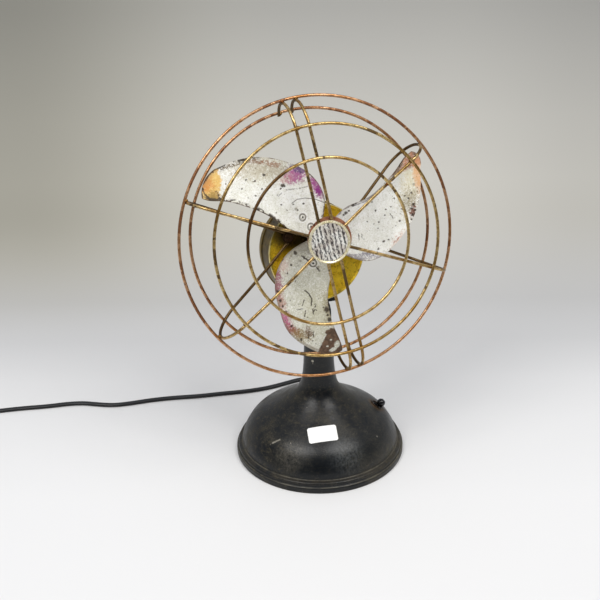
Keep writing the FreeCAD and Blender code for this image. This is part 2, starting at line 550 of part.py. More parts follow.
add("front_bearing", head(bearing(-6.5, 5.6)))
add("rear_bearing", head(bearing(-50.5, -39.5)))
st = []
for (x, y) in STUDS[:2]:
    s = cyl(1.7, -43.5, -4.4, x, y).fuse(hexagon(6.0, -43.4, -41.05, x, y)).fuse(hexagon(6.0, -6.95, -4.6, x, y))
    st.append(head(one(s)))
for (x, y) in STUDS[2:]:
    s = cyl(1.7, -37.5, -10.5, x, y).fuse(hexagon(6.0, -36.6, STACK_BACK - 0.02, x, y)).fuse(hexagon(6.0, STACK_FRONT + 0.02, -11.6, x, y))
    st.append(head(one(s)))
add("stator_bolts", st)
lead = [V(4, -55.0, STACK_BACK - 5.9), V(4, -55.0, STACK_BACK - 13.5), V(8, -42.0, STACK_BACK - 20.0), V(12, -27.0, STACK_BACK - 20.0)]
lw = tube(lead, [5, 10], 1.2)
lead2 = [V(-4, -55.0, STACK_BACK - 5.9), V(-4, -55.0, STACK_BACK - 13.5), V(-8, -42.0, STACK_BACK - 20.0), V(-12, -27.0, STACK_BACK - 20.0)]
lw2 = tube(lead2, [5, 10], 1.2)
add("motor_leads", [head(lw), head(lw2)])

# ---------------------------------------------------------------- rotor
core = cyl(ROTOR_R - 0.1, STACK_BACK - 1.5, STACK_FRONT + 1.5).cut(cyl(SHAFT_R, -60, 10))
add("rotor_core", head(core))
add("rotor_bars", [head(cyl(1.0, STACK_BACK - 2.6, STACK_FRONT + 2.6, 12.4 * math.cos(math.radians(22.5 * k)), 12.4 * math.sin(math.radians(22.5 * k)))) for k in range(16)])
hole = Part.makeCompound([cyl(1.0, STACK_BACK - 3, STACK_FRONT + 3, 12.4 * math.cos(math.radians(22.5 * k)), 12.4 * math.sin(math.radians(22.5 * k))) for k in range(16)])
PARTS["rotor_core"] = head(one(core.cut(hole)))
shaft = cyl(SHAFT_R, -52.5, 33.0)
shaft = shaft.makeFillet(0.8, [e for e in shaft.Edges if len(e.Vertexes) == 1 and abs(e.CenterOfMass.z - 33.0) < 1e-6])
add("motor_shaft", head(shaft))
add("thrust_washers", [head(ring(5.2, SHAFT_R + 0.03, 5.7, 6.6)), head(ring(5.2, SHAFT_R + 0.03, 6.65, 7.4)), head(ring(5.2, SHAFT_R + 0.03, -39.3, -38.4))])


# ---------------------------------------------------------------- blades
# Blade outline in polar form: (radius, angle from the root line). The leading edge is the rounded one.
TRAIL = [(12.5, 50), (17, 44), (23, 38.5), (31, 34), (40, 30.7), (48, 28.2), (56, 26.6), (64, 25.7), (72, 25.2), (80, 25.2), (88, 25.5), (96, 26.2), (104, 27.0), (112, 27.6), (119.5, 27.6), (125.0, 26.6)]
LEAD = [(12.5, -58), (17, -55), (23, -53), (31, -50.5), (40, -46.8), (48, -42.8), (56, -38.2), (64, -32.6), (72, -26.2), (80, -19.6), (88, -13.4), (96, -7.6), (104, -1.6), (112, 4.8), (119.5, 11.2), (125.5, 17.2)]


def lerp(x, xs, ys):
    if x <= xs[0]:
        return ys[0]
    for i in range(1, len(xs)):
        if x <= xs[i]:
            k = (x - xs[i - 1]) / (xs[i] - xs[i - 1])
            return ys[i - 1] + k * (ys[i] - ys[i - 1])
    return ys[-1]


def smooth(x, xs, ys):
    """Piecewise cosine-free cubic blend through the table."""
    if x <= xs[0]:
        return ys[0]
    if x >= xs[-1]:
        return ys[-1]
    n = len(xs)
    m = [0.0] * n
    for i in range(n):
        if i == 0:
            m[i] = (ys[1] - ys[0]) / (xs[1] - xs[0])
        elif i == n - 1:
            m[i] = (ys[-1] - ys[-2]) / (xs[-1] - xs[-2])
        else:
            m[i] = (ys[i + 1] - ys[i - 1]) / (xs[i + 1] - xs[i - 1])
    for i in range(1, n):
        if x <= xs[i]:
            h = xs[i] - xs[i - 1]
            q = (x - xs[i - 1]) / h
            return ((2 * q ** 3 - 3 * q ** 2 + 1) * ys[i - 1] + (q ** 3 - 2 * q ** 2 + q) * h * m[i - 1]
                    + (-2 * q ** 3 + 3 * q ** 2) * ys[i] + (q ** 3 - q ** 2) * h * m[i])


KNOTS = [12, 35, 60, 85, 105, 130]
# How each blade has been bent in use: turn about the hub, length factor, extra pitch, forward
# shift of the outer half, tip bend, and edge offsets in degrees at the knots (trailing, leading).
BENT = [
    (-1.4, 1.01, -4.6, -1.1, -1.9, (0, -0.3, -0.8, 0.0, 0.0, 3.6), (0, -3.2, -0.3, -0.2, -1.0, -2.2)),
    (2.0, 1.02, -6.1, 4.9, 1.3, (0, 5.8, -0.1, -0.2, -0.7, 0.6), (0, -0.8, -4.7, -1.4, 0.5, 2.3)),
    (2.6, 0.98, 0.5, -1.8, -1.1, (0, -2.0, -4.7, -2.8, -1.5, 0.2), (0, 0.8, 2.3, 1.9, 0.0, 5.6)),
]


def trail(r, b):
    return smooth(r, [p[0] for p in TRAIL], [p[1] for p in TRAIL]) + smooth(r, KNOTS, b[5])


def lead_edge(r, b):
    return smooth(r, [p[0] for p in LEAD], [p[1] for p in LEAD]) + smooth(r, KNOTS, b[6])


def blade_d(r, th, b):
    """Height of a blade's middle surface at radius r and angle th from its root line."""
    tr, le = trail(r, b), lead_edge(r, b)
    mid = (tr + le) / 2
    half = max(math.radians((tr - le) / 2) * r, 6.0)
    w = math.radians(th - mid) * r
    pitch = math.radians(smooth(r, [12, 40, 80, 130], [19.0, 14.0, 9.5, 8.0]) + b[2] * lerp(r, [12, 40, 130], [0.0, 0.6, 1.0]))
    d0 = smooth(r, [12, 40, 70, 95, 115, 130], [20.4, 21.6, 22.8, 22.0, 19.8, 17.4]) + b[3] * smooth(r, [12, 36, 60, 130], [0.0, 0.5, 1.0, 1.0]) + b[4] * smooth(r, [12, 80, 105, 130], [0.0, 0.0, 0.5, 1.0])
    camber = smooth(r, [12, 40, 90, 130], [1.2, 2.6, 2.4, 1.4])
    return d0 + math.tan(pitch) * w - camber * (1 - min((w / half) ** 2, 1.6))


def sheet_solid(grid_pts, up, down):
    """Closed solid between two copies of a point grid, moved along d."""
    def surf(off):
        b = Part.BSplineSurface()
        b.interpolate([[V(p.x, p.y, p.z + off) for p in row] for row in grid_pts])
        return b
    n, m = len(grid_pts), len(grid_pts[0])
    a, b = surf(up), surf(down)
    fa, fb = a.toShape(), b.toShape()
    ua0, ua1, va0, va1 = a.bounds()
    sides = []
    for (iso, val) in (("u", ua0), ("u", ua1), ("v", va0), ("v", va1)):
        ea = (a.uIso(val) if iso == "u" else a.vIso(val)).toShape()
        eb = (b.uIso(val) if iso == "u" else b.vIso(val)).toShape()
        sides.append(Part.makeRuledSurface(ea, eb))
    sh = Part.Shell([fa, fb] + sides)
    sh.sewShape()
    so = Part.Solid(sh)
    if so.Volume < 0:
        so.reverse()
    return so


def polar(r, th, d):
    a = math.radians(th)
    return V(r * math.cos(a), r * math.sin(a), d)


NV = 13


def make_blade(b):
    grid = []
    for (tr, le) in zip(TRAIL, LEAD):
        row = []
        for q in range(NV):
            k = q / (NV - 1.0)
            r = tr[0] + (le[0] - tr[0]) * k
            r *= 1 + (b[1] - 1) * r / 125.0
            th = trail(r, b) + (lead_edge(r, b) - trail(r, b)) * k
            if tr[0] > 122:
                r += 3.6 * (1 - (2 * k - 1) ** 2)
            elif tr[0] > 116:
                r += 1.2 * (1 - (2 * k - 1) ** 2)
            row.append(polar(r, th, blade_d(r, th, b)))
        grid.append(row)
    return sheet_solid(grid, BLADE_T / 2, -BLADE_T / 2)


def make_arm(b):
    rows = []
    for r in (9.5, 14, 19, 24, 29, 33):
        row = []
        hw = 7.0 if r < 31 else 5.2
        for q in range(5):
            w_ = -hw + 2 * hw * q / 4.0
            th = math.degrees(w_ / r)
            rr = max(r, 12.5)
            row.append(polar(r, th, blade_d(rr, th if r > 12 else 0, b)))
        rows.append(row)
    return sheet_solid(rows, -BLADE_T / 2 - 0.02, -BLADE_T / 2 - 1.8)


rivet = revolve([(0.9, 1.3), (1.7, 1.55), (2.7, 1.2), (3.1, 0.55), (3.1, 0.5), (1.5, 0.5), (1.5, -2.55), (2.6, -2.55), (2.3, -3.4), (0, -3.6), (0, 0.7)])
rivets, arms = [], []


def sheet_normal(r, b):
    e = 0.5
    dr = (blade_d(r + e, 0, b) - blade_d(r - e, 0, b)) / (2 * e)
    dt = (blade_d(r, math.degrees(e / r), b) - blade_d(r, -math.degrees(e / r), b)) / (2 * e)
    return V(-dr, -dt, 1).normalize()


blades = []
for i, (a, b) in enumerate(zip(BLADE_ROOT, BENT)):
    a += b[0]
    holes = Part.makeCompound([oriented(cyl(1.52, -8, 8), V(r, 0, blade_d(r, 0, b)), sheet_normal(r, b)) for r in RIVET_RADII])
    bl = one(make_blade(b).cut(holes))
    ar = one(make_arm(b).cut(holes))
    for s in (bl, ar):
        s.rotate(V(0, 0, 0), V(0, 0, 1), a)
    blades.append(bl)
    print("blade", i + 1, "volume %.0f" % bl.Volume, bl.isValid(), "d range %.1f %.1f" % (bl.BoundBox.ZMin, bl.BoundBox.ZMax))
    add("blade_%d" % (i + 1), head(bl))
    arms.append(ar)
    for r in RIVET_RADII:
        s = oriented(rivet, V(r, 0, blade_d(r, 0, b)) + sheet_normal(r, b) * 0.1, sheet_normal(r, b))
        s.rotate(V(0, 0, 0), V(0, 0, 1), a)
        rivets.append(head(one(s)))
add("blade_rivets", rivets)
hub = revolve([(SHAFT_R, 8.2), (8.5, 8.2), (9.5, 9.2), (9.5, 12.0), (11.2, 14.0), (11.6, 17.4), (11.6, 22.6), (10.0, 24.4), (6.5, 25.6), (SHAFT_R, 25.6)])
spider = hub
for ar in arms:
    spider = spider.fuse(ar)
spider = one(spider)
spider = spider.cut(Part.makeCylinder(1.6, 14, V(0, 0, 10.4), V(0, -1, 0)))
# the hub stays clear of the blade roots
for bl in blades:
    spider = spider.cut(bl)
add("blade_spider", head(one(spider)))
add("hub_set_screw", head(Part.makeCylinder(1.55, 6.2, V(0, -3.05, 10.4), V(0, -1, 0)).cut(box(-0.3, 0.3, -12, -8.6, 5, 15))))
nutf = hexagon(10.0, 25.7, 29.5).fuse(revolve([(0, 29.4), (4.6, 29.4), (4.3, 32.0), (2.9, 34.0), (0, 34.8)]))
nutf = nutf.cut(cyl(SHAFT_R + 0.02, 20, 33.1))
add("hub_nut", head(one(nutf)))

# ---------------------------------------------------------------- guard
RINGS = {"rim": (RIM_U, RIM_V, RIM_R, RIM_D), "rear": (REAR_U, REAR_V, REAR_R, REAR_D), "outer": (0.0, 0.0, OUTER_R, OUTER_D), "inner": (0.0, 0.0, INNER_R, INNER_D)}
for name, (u, v, r, d) in RINGS.items():
    add("guard_%s_ring" % name, head(Part.makeTorus(r, WIRE_R, V(u, v, d))))


def in_plane(ang, off=0.0):
    a = math.radians(ang)
    e = V(math.cos(a), math.sin(a), 0)
    nrm = V(-math.sin(a), math.cos(a), 0)
    return lambda s, d: e * s + nrm * off + V(0, 0, d)


def gap(wire, name, ang):
    """Distance from a wire's centre line to the stretch of a ring near one direction."""
    u, v, r, d = RINGS[name]
    c = Part.makeCircle(r, V(u, v, d), V(0, 0, 1), ang - 14.0, ang + 14.0)
    return wire.distToShape(c)[0]


WELD = 2 * WIRE_R - 0.25


def settle(build, angs):
    """Move each end's corners until the wire is welded to all four rings.

    build(par) returns (points, radii); par has [d near the inner ring, front d, reach, rear d] per end."""
    par = [[52.4, FRONT_D, BOW_X, BACK_D] for a in angs]
    for k in range(12):
        pts, rad = build(par)
        w = path_wire(pts, rad)
        worst = 0.0
        for q, a in zip(par, angs):
            e4, e3, e1, e2 = [gap(w, n, a) - WELD for n in ("inner", "outer", "rim", "rear")]
            q[0] += e4
            q[1] += e3
            q[2] += e1
            q[3] -= e2
            worst = max(worst, abs(e4), abs(e3), abs(e1), abs(e2))
        if worst < 0.01:
            break
    print("weld residual %.3f after %d rounds" % (worst, k + 1), [[round(x, 2) for x in q] for q in par])
    return build(par)


for name, off in (("guard_long_wire_1", PAIR_OFF[0]), ("guard_long_wire_2", PAIR_OFF[1])):
    f = in_plane(PAIR_ANG, off)

    def build(par, f=f):
        t, b = par
        k = V(2.2, 0, 0)
        pts = [f(-103.0, b[3]) + k, f(-b[2], b[3]) + k, f(-b[2], b[1]) + k, f(-72, b[0]), f(0, 52.7), f(72, t[0]), f(t[2], t[1]), f(t[2], t[3]), f(103.0, t[3])]
        return pts, [BOW_R, BOW_R - 0.8, 700, 1500, 700, BOW_R - 0.8, BOW_R]

    pts, rad = settle(build, [PAIR_ANG - math.degrees(-off / 130.0), PAIR_ANG - 180 + math.degrees(-off / 130.0)])
    w = tube(pts, rad, WIRE_R)
    # the cut ends stop just past the rear ring
    a0 = in_plane(PAIR_ANG, off)
    for (s0, s1) in ((60.0, TRIM_TOP), (-60.0, -TRIM_LOW)):
        lo_, hi_ = sorted((s0, s1))
        slab = Part.makeBox(hi_ - lo_, 14.0, 24.0, V(lo_, -7.0, -24.0))
        slab.Placement = FreeCAD.Placement(a0(0, 14.0), rot(V(0, 0, 1), PAIR_ANG))
        w = w.cut(slab)
    add(name, head(one(w)))


def side_wire(front, back, sgn):
    """One wire: badge, rim, housing screw, rim, badge. front and back hold (direction, direction) pairs."""
    (f1a, f1b), (f2a, f2b) = front
    S = V(sgn * GUARD_SCREW_U, GUARD_SCREW_V, EYE_D)
    er = 2.0 + 0.2 + WIRE_R

    def build(par):
        p1, p2 = par
        c1, c2 = in_plane(back[0])(p1[2] - 0.3, p1[3]), in_plane(back[1])(p2[2] - 0.3, p2[3])
        X = S
        for k in range(6):
            u1 = V(c1.x - X.x, c1.y - X.y, 0).normalize()
            u2 = V(c2.x - X.x, c2.y - X.y, 0).normalize()
            X = S - (u1 + u2).normalize() * (er / math.sin(u1.getAngle(u2) / 2))
        t1 = X + u1 * 42.0
        t2 = X + u2 * 42.0
        A, B = in_plane(f1a), in_plane(f2a)
        pts = [A(12.5, 52.65), A(72, p1[0]), in_plane(f1b)(p1[2], p1[1]), c1, t1, X, t2, c2, in_plane(f2b)(p2[2], p2[1]), B(72, p2[0]), B(12.5, 52.65)]
        return pts, [500, BOW_R - 0.8, BOW_R - 0.4, 60, er, 60, BOW_R - 0.4, BOW_R - 0.8, 500]

    pts, rad = settle(build, [back[0], back[1]])
    return tube(pts, rad, WIRE_R)


add("guard_left_wire", head(side_wire((SPOKES["left"][:2], SPOKES["low_left"][:2]), (SPOKES["left"][2], SPOKES["low_left"][2]), -1)))
add("guard_right_wire", head(side_wire((SPOKES["right"][:2], SPOKES["up_right"][:2]), (SPOKES["right"][2], SPOKES["up_right"][2]), 1)))
gs, gw = [], []
for sgn in (-1, 1):
    s = screw(4.1, 2.3, 2.0, 8.5)
    s = s.cut(ring(3.0, 1.99, -8.6, -5.0))
    s = oriented(s, V(sgn * GUARD_SCREW_U, GUARD_SCREW_V, EYE_D + WIRE_R + 1.0), V(0, 0, 1), 25 * sgn)
    gs.append(head(s))
    gw.append(head(ring(5.6, 2.05, EYE_D + WIRE_R + 0.02, EYE_D + WIRE_R + 0.98, sgn * GUARD_SCREW_U, GUARD_SCREW_V)))
add("guard_screws", gs)
add("guard_screw_washers", gw)

# ---------------------------------------------------------------- badge
BU, BV = -0.9, 0.0
bd = revolve([(2.55, 0), (BADGE_R - 0.6, 0), (BADGE_R, 0.7), (BADGE_R, 2.6), (BADGE_R - 0.5, 3.3), (BADGE_R - 1.3, 3.5), (BADGE_R - 2.1, 3.1), (BADGE_R - 2.5, 2.1), (2.55, 2.3)], BU, BV)
bd.translate(V(0, 0, BADGE_D))
add("badge", head(bd))
bk = cyl(22.5, BACK_DISC - 1.3, BACK_DISC, BU + 2.2, BV + 1.9).cut(cyl(2.55, 40, 60, BU, BV))
add("badge_back_disc", head(one(bk)))
bs = cyl(2.5, BACK_DISC - 2.0, BADGE_D + 2.2, BU, BV).fuse(cyl(4.4, BACK_DISC - 2.8, BACK_DISC - 1.32, BU, BV)).fuse(revolve([(0, BADGE_D + 2.15), (2.5, BADGE_D + 2.15), (1.8, BADGE_D + 2.5), (0, BADGE_D + 2.6)], BU, BV))
add("badge_stud", head(one(bs)))

# ---------------------------------------------------------------- blank paper label on the bell
DO = [(r + 0.26, z + 0.34) for (r, z) in DOME[3:12]]
DI = [(r + 0.05, z + 0.07) for (r, z) in DOME[3:12]]
e1, e2 = bspline(DO), bspline(DI)
skin = revolve_edges([e1, e2, seg(DO[0], DI[0]), seg(DO[-1], DI[-1])])
LAB_AZ = -104.0
lab = box(-15.6, 15.6, -9.0, 9.0, -30, 30)
lab = lab.makeFillet(2.3, [e for e in lab.Edges if abs(e.BoundBox.ZLength - 60) < 1e-6])
ln = V(0.60 * math.cos(math.radians(LAB_AZ)), 0.60 * math.sin(math.radians(LAB_AZ)), 0.8).normalize()
lp = V(56.0 * math.cos(math.radians(LAB_AZ)), 56.0 * math.sin(math.radians(LAB_AZ)), 51.4)
tx = V(-math.sin(math.radians(LAB_AZ)), math.cos(math.radians(LAB_AZ)), 0)
ty = ln.cross(tx)
m = FreeCAD.Matrix(tx.x, ty.x, ln.x, lp.x, tx.y, ty.y, ln.y, lp.y, tx.z, ty.z, ln.z, lp.z, 0, 0, 0, 1)
lab.Placement = FreeCAD.Placement(m).multiply(FreeCAD.Placement(V(0, 0, 0), rot(V(0, 0, 1), 6.0)))
add("blank_label", one(lab.common(one(skin))))

# ---------------------------------------------------------------- write
os.makedirs("parts", exist_ok=True)
for f in os.listdir("parts"):
    if f.endswith(".step"):
        os.remove(os.path.join("parts", f))
for name, s in PARTS.items():
    bad = [x for x in s.Solids if not x.isValid() or x.Volume <= 0]
    if bad or not s.Solids:
        print("CHECK", name, "solids", len(s.Solids), "bad", len(bad))
    s.exportStep(os.path.join("parts", name + ".step"))
print(len(PARTS), "nodes")
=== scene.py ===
import bpy
import bmesh
import math
import random
from mathutils import Matrix, Vector, noise


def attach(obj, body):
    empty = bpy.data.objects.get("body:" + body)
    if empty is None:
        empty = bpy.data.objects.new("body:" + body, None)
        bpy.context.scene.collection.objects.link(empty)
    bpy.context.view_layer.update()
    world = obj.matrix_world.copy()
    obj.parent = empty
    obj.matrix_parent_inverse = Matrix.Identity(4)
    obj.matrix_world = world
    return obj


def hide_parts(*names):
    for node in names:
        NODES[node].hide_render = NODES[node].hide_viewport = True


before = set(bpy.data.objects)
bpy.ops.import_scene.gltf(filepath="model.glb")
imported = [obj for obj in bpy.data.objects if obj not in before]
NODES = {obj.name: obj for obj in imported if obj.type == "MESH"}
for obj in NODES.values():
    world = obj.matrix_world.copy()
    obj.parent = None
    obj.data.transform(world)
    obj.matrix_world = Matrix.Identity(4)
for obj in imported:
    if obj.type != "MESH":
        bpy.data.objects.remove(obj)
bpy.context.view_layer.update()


SCENE = bpy.context.scene
SCENE.view_settings.view_transform = "Standard"
SCENE.view_settings.look = "None"

# ------------------------------------------------------------------ head axes
TILT = math.radians(14.9)
HUB = Vector((-0.0035, 0.0, 0.25835))
AX_U = Vector((1.0, 0.0, 0.0))
AX_V = Vector((0.0, math.sin(TILT), math.cos(TILT)))
AX_D = Vector((0.0, -math.cos(TILT), math.sin(TILT)))


def head(u, v, d):
    """A point given in the head's own axes, in millimetres, as a point in the frame."""
    return HUB + AX_U * (u / 1000.0) + AX_V * (v / 1000.0) + AX_D * (d / 1000.0)


def mm(x, y, z):
    return Vector((x / 1000.0, y / 1000.0, z / 1000.0))


# ------------------------------------------------------------------ camera
def set_camera():
    elev, dist, roll = math.radians(33.77), 1357.2, math.radians(-0.72)
    turn = math.radians(17.27)
    u0, v0, f = 319.81, 444.82, 1200.0
    pos = Vector((0.0, -dist * math.cos(elev), dist * math.sin(elev)))
    zc = (-pos).normalized()
    xc = Vector((1.0, 0.0, 0.0))
    yc = zc.cross(xc)
    base = Matrix((xc, yc, zc))
    ray = Vector(((u0 - 300) / f, (v0 - 300) / f, 1.0)).normalized()
    yaw, pitch = math.atan2(ray[0], ray[2]), -math.asin(ray[1])
    ry = Matrix(((math.cos(yaw), 0, math.sin(yaw)), (0, 1, 0), (-math.sin(yaw), 0, math.cos(yaw))))
    rx = Matrix(((1, 0, 0), (0, math.cos(pitch), -math.sin(pitch)), (0, math.sin(pitch), math.cos(pitch))))
    rz = Matrix(((math.cos(roll), -math.sin(roll), 0), (math.sin(roll), math.cos(roll), 0), (0, 0, 1)))
    spin = Matrix(((math.cos(turn), -math.sin(turn), 0), (math.sin(turn), math.cos(turn), 0), (0, 0, 1)))
    m = ry @ rx @ rz @ base @ spin
    cam = bpy.data.objects.new("camera", bpy.data.cameras.new("camera"))
    SCENE.collection.objects.link(cam)
    cam.data.lens, cam.data.sensor_width, cam.data.sensor_fit = 72.0, 36.0, "HORIZONTAL"
    cam.data.clip_start, cam.data.clip_end = 0.02, 30.0
    right, up, back = m[0], -m[1], -m[2]
    w = Matrix((right, up, back)).transposed().to_4x4()
    p = spin.transposed() @ pos
    w.translation = p / 1000.0
    cam.matrix_world = w
    SCENE.camera = cam
    return cam


CAM = set_camera()
TURN = math.radians(17.27)


def studio(x, y, z):
    """A point given along the camera's own heading, in metres, as a point in the frame."""
    return Vector((math.cos(TURN) * x + math.sin(TURN) * y, -math.sin(TURN) * x + math.cos(TURN) * y, z))


# ------------------------------------------------------------------ materials
def lin(h, k=1.0):
    if not isinstance(h, str):
        return (h[0] * k, h[1] * k, h[2] * k, 1.0)
    c = [int(h[i:i + 2], 16) / 255.0 for i in (1, 3, 5)]
    c = [x / 12.92 if x <= 0.04045 else ((x + 0.055) / 1.055) ** 2.4 for x in c]
    return (c[0] * k, c[1] * k, c[2] * k, 1.0)


class Mat:
    """A small helper that builds one procedural material, in object coordinates in metres."""

    def __init__(self, name, **shader):
        self.m = bpy.data.materials.new(name)
        self.m.use_nodes = True
        self.t = self.m.node_tree
        self.t.nodes.clear()
        self.out = self.t.nodes.new("ShaderNodeOutputMaterial")
        self.b = self.t.nodes.new("ShaderNodeBsdfPrincipled")
        self.t.links.new(self.b.outputs[0], self.out.inputs[0])
        self.c = self.t.nodes.new("ShaderNodeTexCoord").outputs["Object"]
        self._uv = None
        for k, v in shader.items():
            self.b.inputs[k.replace("_", " ")].default_value = v

    def put(self, socket, value):
        if isinstance(value, bpy.types.NodeSocket):
            self.t.links.new(value, socket)
        elif value is not None:
            socket.default_value = value

    def set(self, **sockets):
        for k, v in sockets.items():
            self.put(self.b.inputs[k.replace("_", " ")], v)
        return self

    def math(self, op, a, b=None, c=None, clamp=False):
        n = self.t.nodes.new("ShaderNodeMath")
        n.operation, n.use_clamp = op, clamp
        for i, v in enumerate((a, b, c)):
            self.put(n.inputs[i], v)
        return n.outputs[0]

    def vec(self, op, a, b=None, scale=None):
        n = self.t.nodes.new("ShaderNodeVectorMath")
        n.operation = op
        self.put(n.inputs[0], a)
        if b is not None:
            self.put(n.inputs[1], b)
        if scale is not None:
            self.put(n.inputs[3], scale)
        return n.outputs[1] if op in ("DOT_PRODUCT", "LENGTH", "DISTANCE") else n.outputs[0]

    def mul(self, a, b):
        return self.math("MULTIPLY", a, b)

    def add(self, a, b):
        return self.math("ADD", a, b)

    def sub(self, a, b):
        return self.math("SUBTRACT", a, b)

    def top(self, *masks):
        out = masks[0]
        for m in masks[1:]:
            out = self.math("MAXIMUM", out, m)
        return out

    def noise(self, scale, detail=3.0, rough=0.55, vec=None, color=False, lac=2.0):
        n = self.t.nodes.new("ShaderNodeTexNoise")
        self.put(n.inputs["Vector"], self.c if vec is None else vec)
        n.inputs["Scale"].default_value = scale
        n.inputs["Detail"].default_value = detail
        n.inputs["Roughness"].default_value = rough
        n.inputs["Lacunarity"].default_value = lac
        return n.outputs["Color"] if color else n.outputs["Fac"]

    def cells(self, scale, vec=None, feature="F1", rand=1.0, color=False):
        n = self.t.nodes.new("ShaderNodeTexVoronoi")
        n.feature = feature
        self.put(n.inputs["Vector"], self.c if vec is None else vec)
        n.inputs["Scale"].default_value = scale
        n.inputs["Randomness"].default_value = rand
        if color:
            return n.outputs["Distance"], n.outputs["Color"]
        return n.outputs["Distance"]

    def step(self, x, a, b, lo=0.0, hi=1.0, smooth=True):
        n = self.t.nodes.new("ShaderNodeMapRange")
        n.interpolation_type = "SMOOTHSTEP" if smooth else "LINEAR"
        n.clamp = True
        if a > b:
            a, b, lo, hi = b, a, hi, lo
        for i, v in enumerate((x, a, b, lo, hi)):
            self.put(n.inputs[i], v)
        return n.outputs[0]

    def ramp(self, fac, stops, mode="LINEAR"):
        n = self.t.nodes.new("ShaderNodeValToRGB")
        n.color_ramp.interpolation = mode
        el = n.color_ramp.elements
        while len(el) > 1:
            el.remove(el[-1])
        for i, (p, c) in enumerate(stops):
            e = el[0] if i == 0 else el.new(p)
            e.position = p
            e.color = lin(c) if isinstance(c, (str, tuple)) else (c, c, c, 1.0)
        self.put(n.inputs[0], fac)
        return n.outputs[0]

    def mix(self, f, a, b, blend="MIX"):
        n = self.t.nodes.new("ShaderNodeMix")
        n.data_type, n.blend_type = "RGBA", blend
        self.put(n.inputs[0], f)
        self.put(n.inputs[6], lin(a) if isinstance(a, (str, tuple)) else a)
        self.put(n.inputs[7], lin(b) if isinstance(b, (str, tuple)) else b)
        return n.outputs[2]

    def mixf(self, f, a, b):
        n = self.t.nodes.new("ShaderNodeMix")
        n.data_type = "FLOAT"
        self.put(n.inputs[0], f)
        self.put(n.inputs[2], a)
        self.put(n.inputs[3], b)
        return n.outputs[0]

    def split(self, v):
        n = self.t.nodes.new("ShaderNodeSeparateColor" if v.type == "RGBA" else "ShaderNodeSeparateXYZ")
        self.put(n.inputs[0], v)
        return n.outputs[0], n.outputs[1], n.outputs[2]

    def join(self, x, y, z=0.0):
        n = self.t.nodes.new("ShaderNodeCombineXYZ")
        self.put(n.inputs[0], x)
        self.put(n.inputs[1], y)
        self.put(n.inputs[2], z)
        return n.outputs[0]

    def place(self, vec, loc=(0, 0, 0), turn=0.0, size=(1, 1, 1)):
        """vec seen from a place: moved, turned about z and divided by a size."""
        n = self.t.nodes.new("ShaderNodeMapping")
        n.vector_type = "TEXTURE"
        self.put(n.inputs["Vector"], vec)
        n.inputs["Location"].default_value = loc
        n.inputs["Rotation"].default_value = (0, 0, turn)
        n.inputs["Scale"].default_value = size
        return n.outputs[0]

    def stretch(self, vec, size, turn=0.0):
        return self.place(vec, turn=turn, size=size)

    def bump(self, height, dist, strength=1.0):
        n = self.t.nodes.new("ShaderNodeBump")
        n.inputs["Strength"].default_value = strength
        n.inputs["Distance"].default_value = dist
        self.put(n.inputs["Height"], height)
        prev = getattr(self, "_bump", None)
        if prev is not None:
            self.put(n.inputs["Normal"], prev)
        self._bump = n.outputs[0]
        self.put(self.b.inputs["Normal"], n.outputs[0])
        return n.outputs[0]

    # shapes in the plane across the blade axis, in millimetres
    def plane(self):
        if self._uv is None:
            rel = self.vec("SUBTRACT", self.c, tuple(HUB))
            u = self.vec("DOT_PRODUCT", rel, tuple(AX_U * 1000.0))
            v = self.vec("DOT_PRODUCT", rel, tuple(AX_V * 1000.0))
            self._uv = self.join(u, v)
        return self._uv

    def blob(self, uv, at, size, turn=0.0, soft=0.5):
        p = self.place(uv, (at[0], at[1], 0), math.radians(turn), (size[0], size[1], 1))
        return self.step(self.vec("LENGTH", p), 1.0 + soft, 1.0 - soft)

    def side(self, uv, at, way, soft=0.4):
        """1 on the side of the line through at that way points to."""
        w = Vector((way[0], way[1], 0)).normalized()
        d = self.vec("DOT_PRODUCT", self.vec("SUBTRACT", uv, (at[0], at[1], 0)), tuple(w))
        return self.step(d, -soft, soft)

    def stroke(self, uv, p, q, wide):
        mid = ((p[0] + q[0]) / 2, (p[1] + q[1]) / 2)
        half = math.hypot(q[0] - p[0], q[1] - p[1]) / 2 + wide * 0.5
        a = math.degrees(math.atan2(q[1] - p[1], q[0] - p[0]))
        s = self.place(uv, (mid[0], mid[1], 0), math.radians(a), (half, wide, 1))
        x, y, _ = self.split(s)
        return self.mul(self.step(self.math("ABSOLUTE", x), 1.05, 0.85), self.step(self.math("ABSOLUTE", y), 1.0, 0.35))

    def curve(self, x, points):
        n = self.t.nodes.new("ShaderNodeFloatCurve")
        cm = n.mapping.curves[0]
        pts = [p for p in points]
        cm.points[0].location = pts[0]
        cm.points[1].location = pts[-1]
        for p in pts[1:-1]:
            cm.points.new(*p)
        n.mapping.update()
        self.put(n.inputs["Value"], x)
        return n.outputs[0]


def dress(mat, *names):
    for name in names:
        o = NODES[name]
        m = mat.m if isinstance(mat, Mat) else mat
        if not o.material_slots:
            o.data.materials.append(m)
        for s in o.material_slots:
            s.material = m


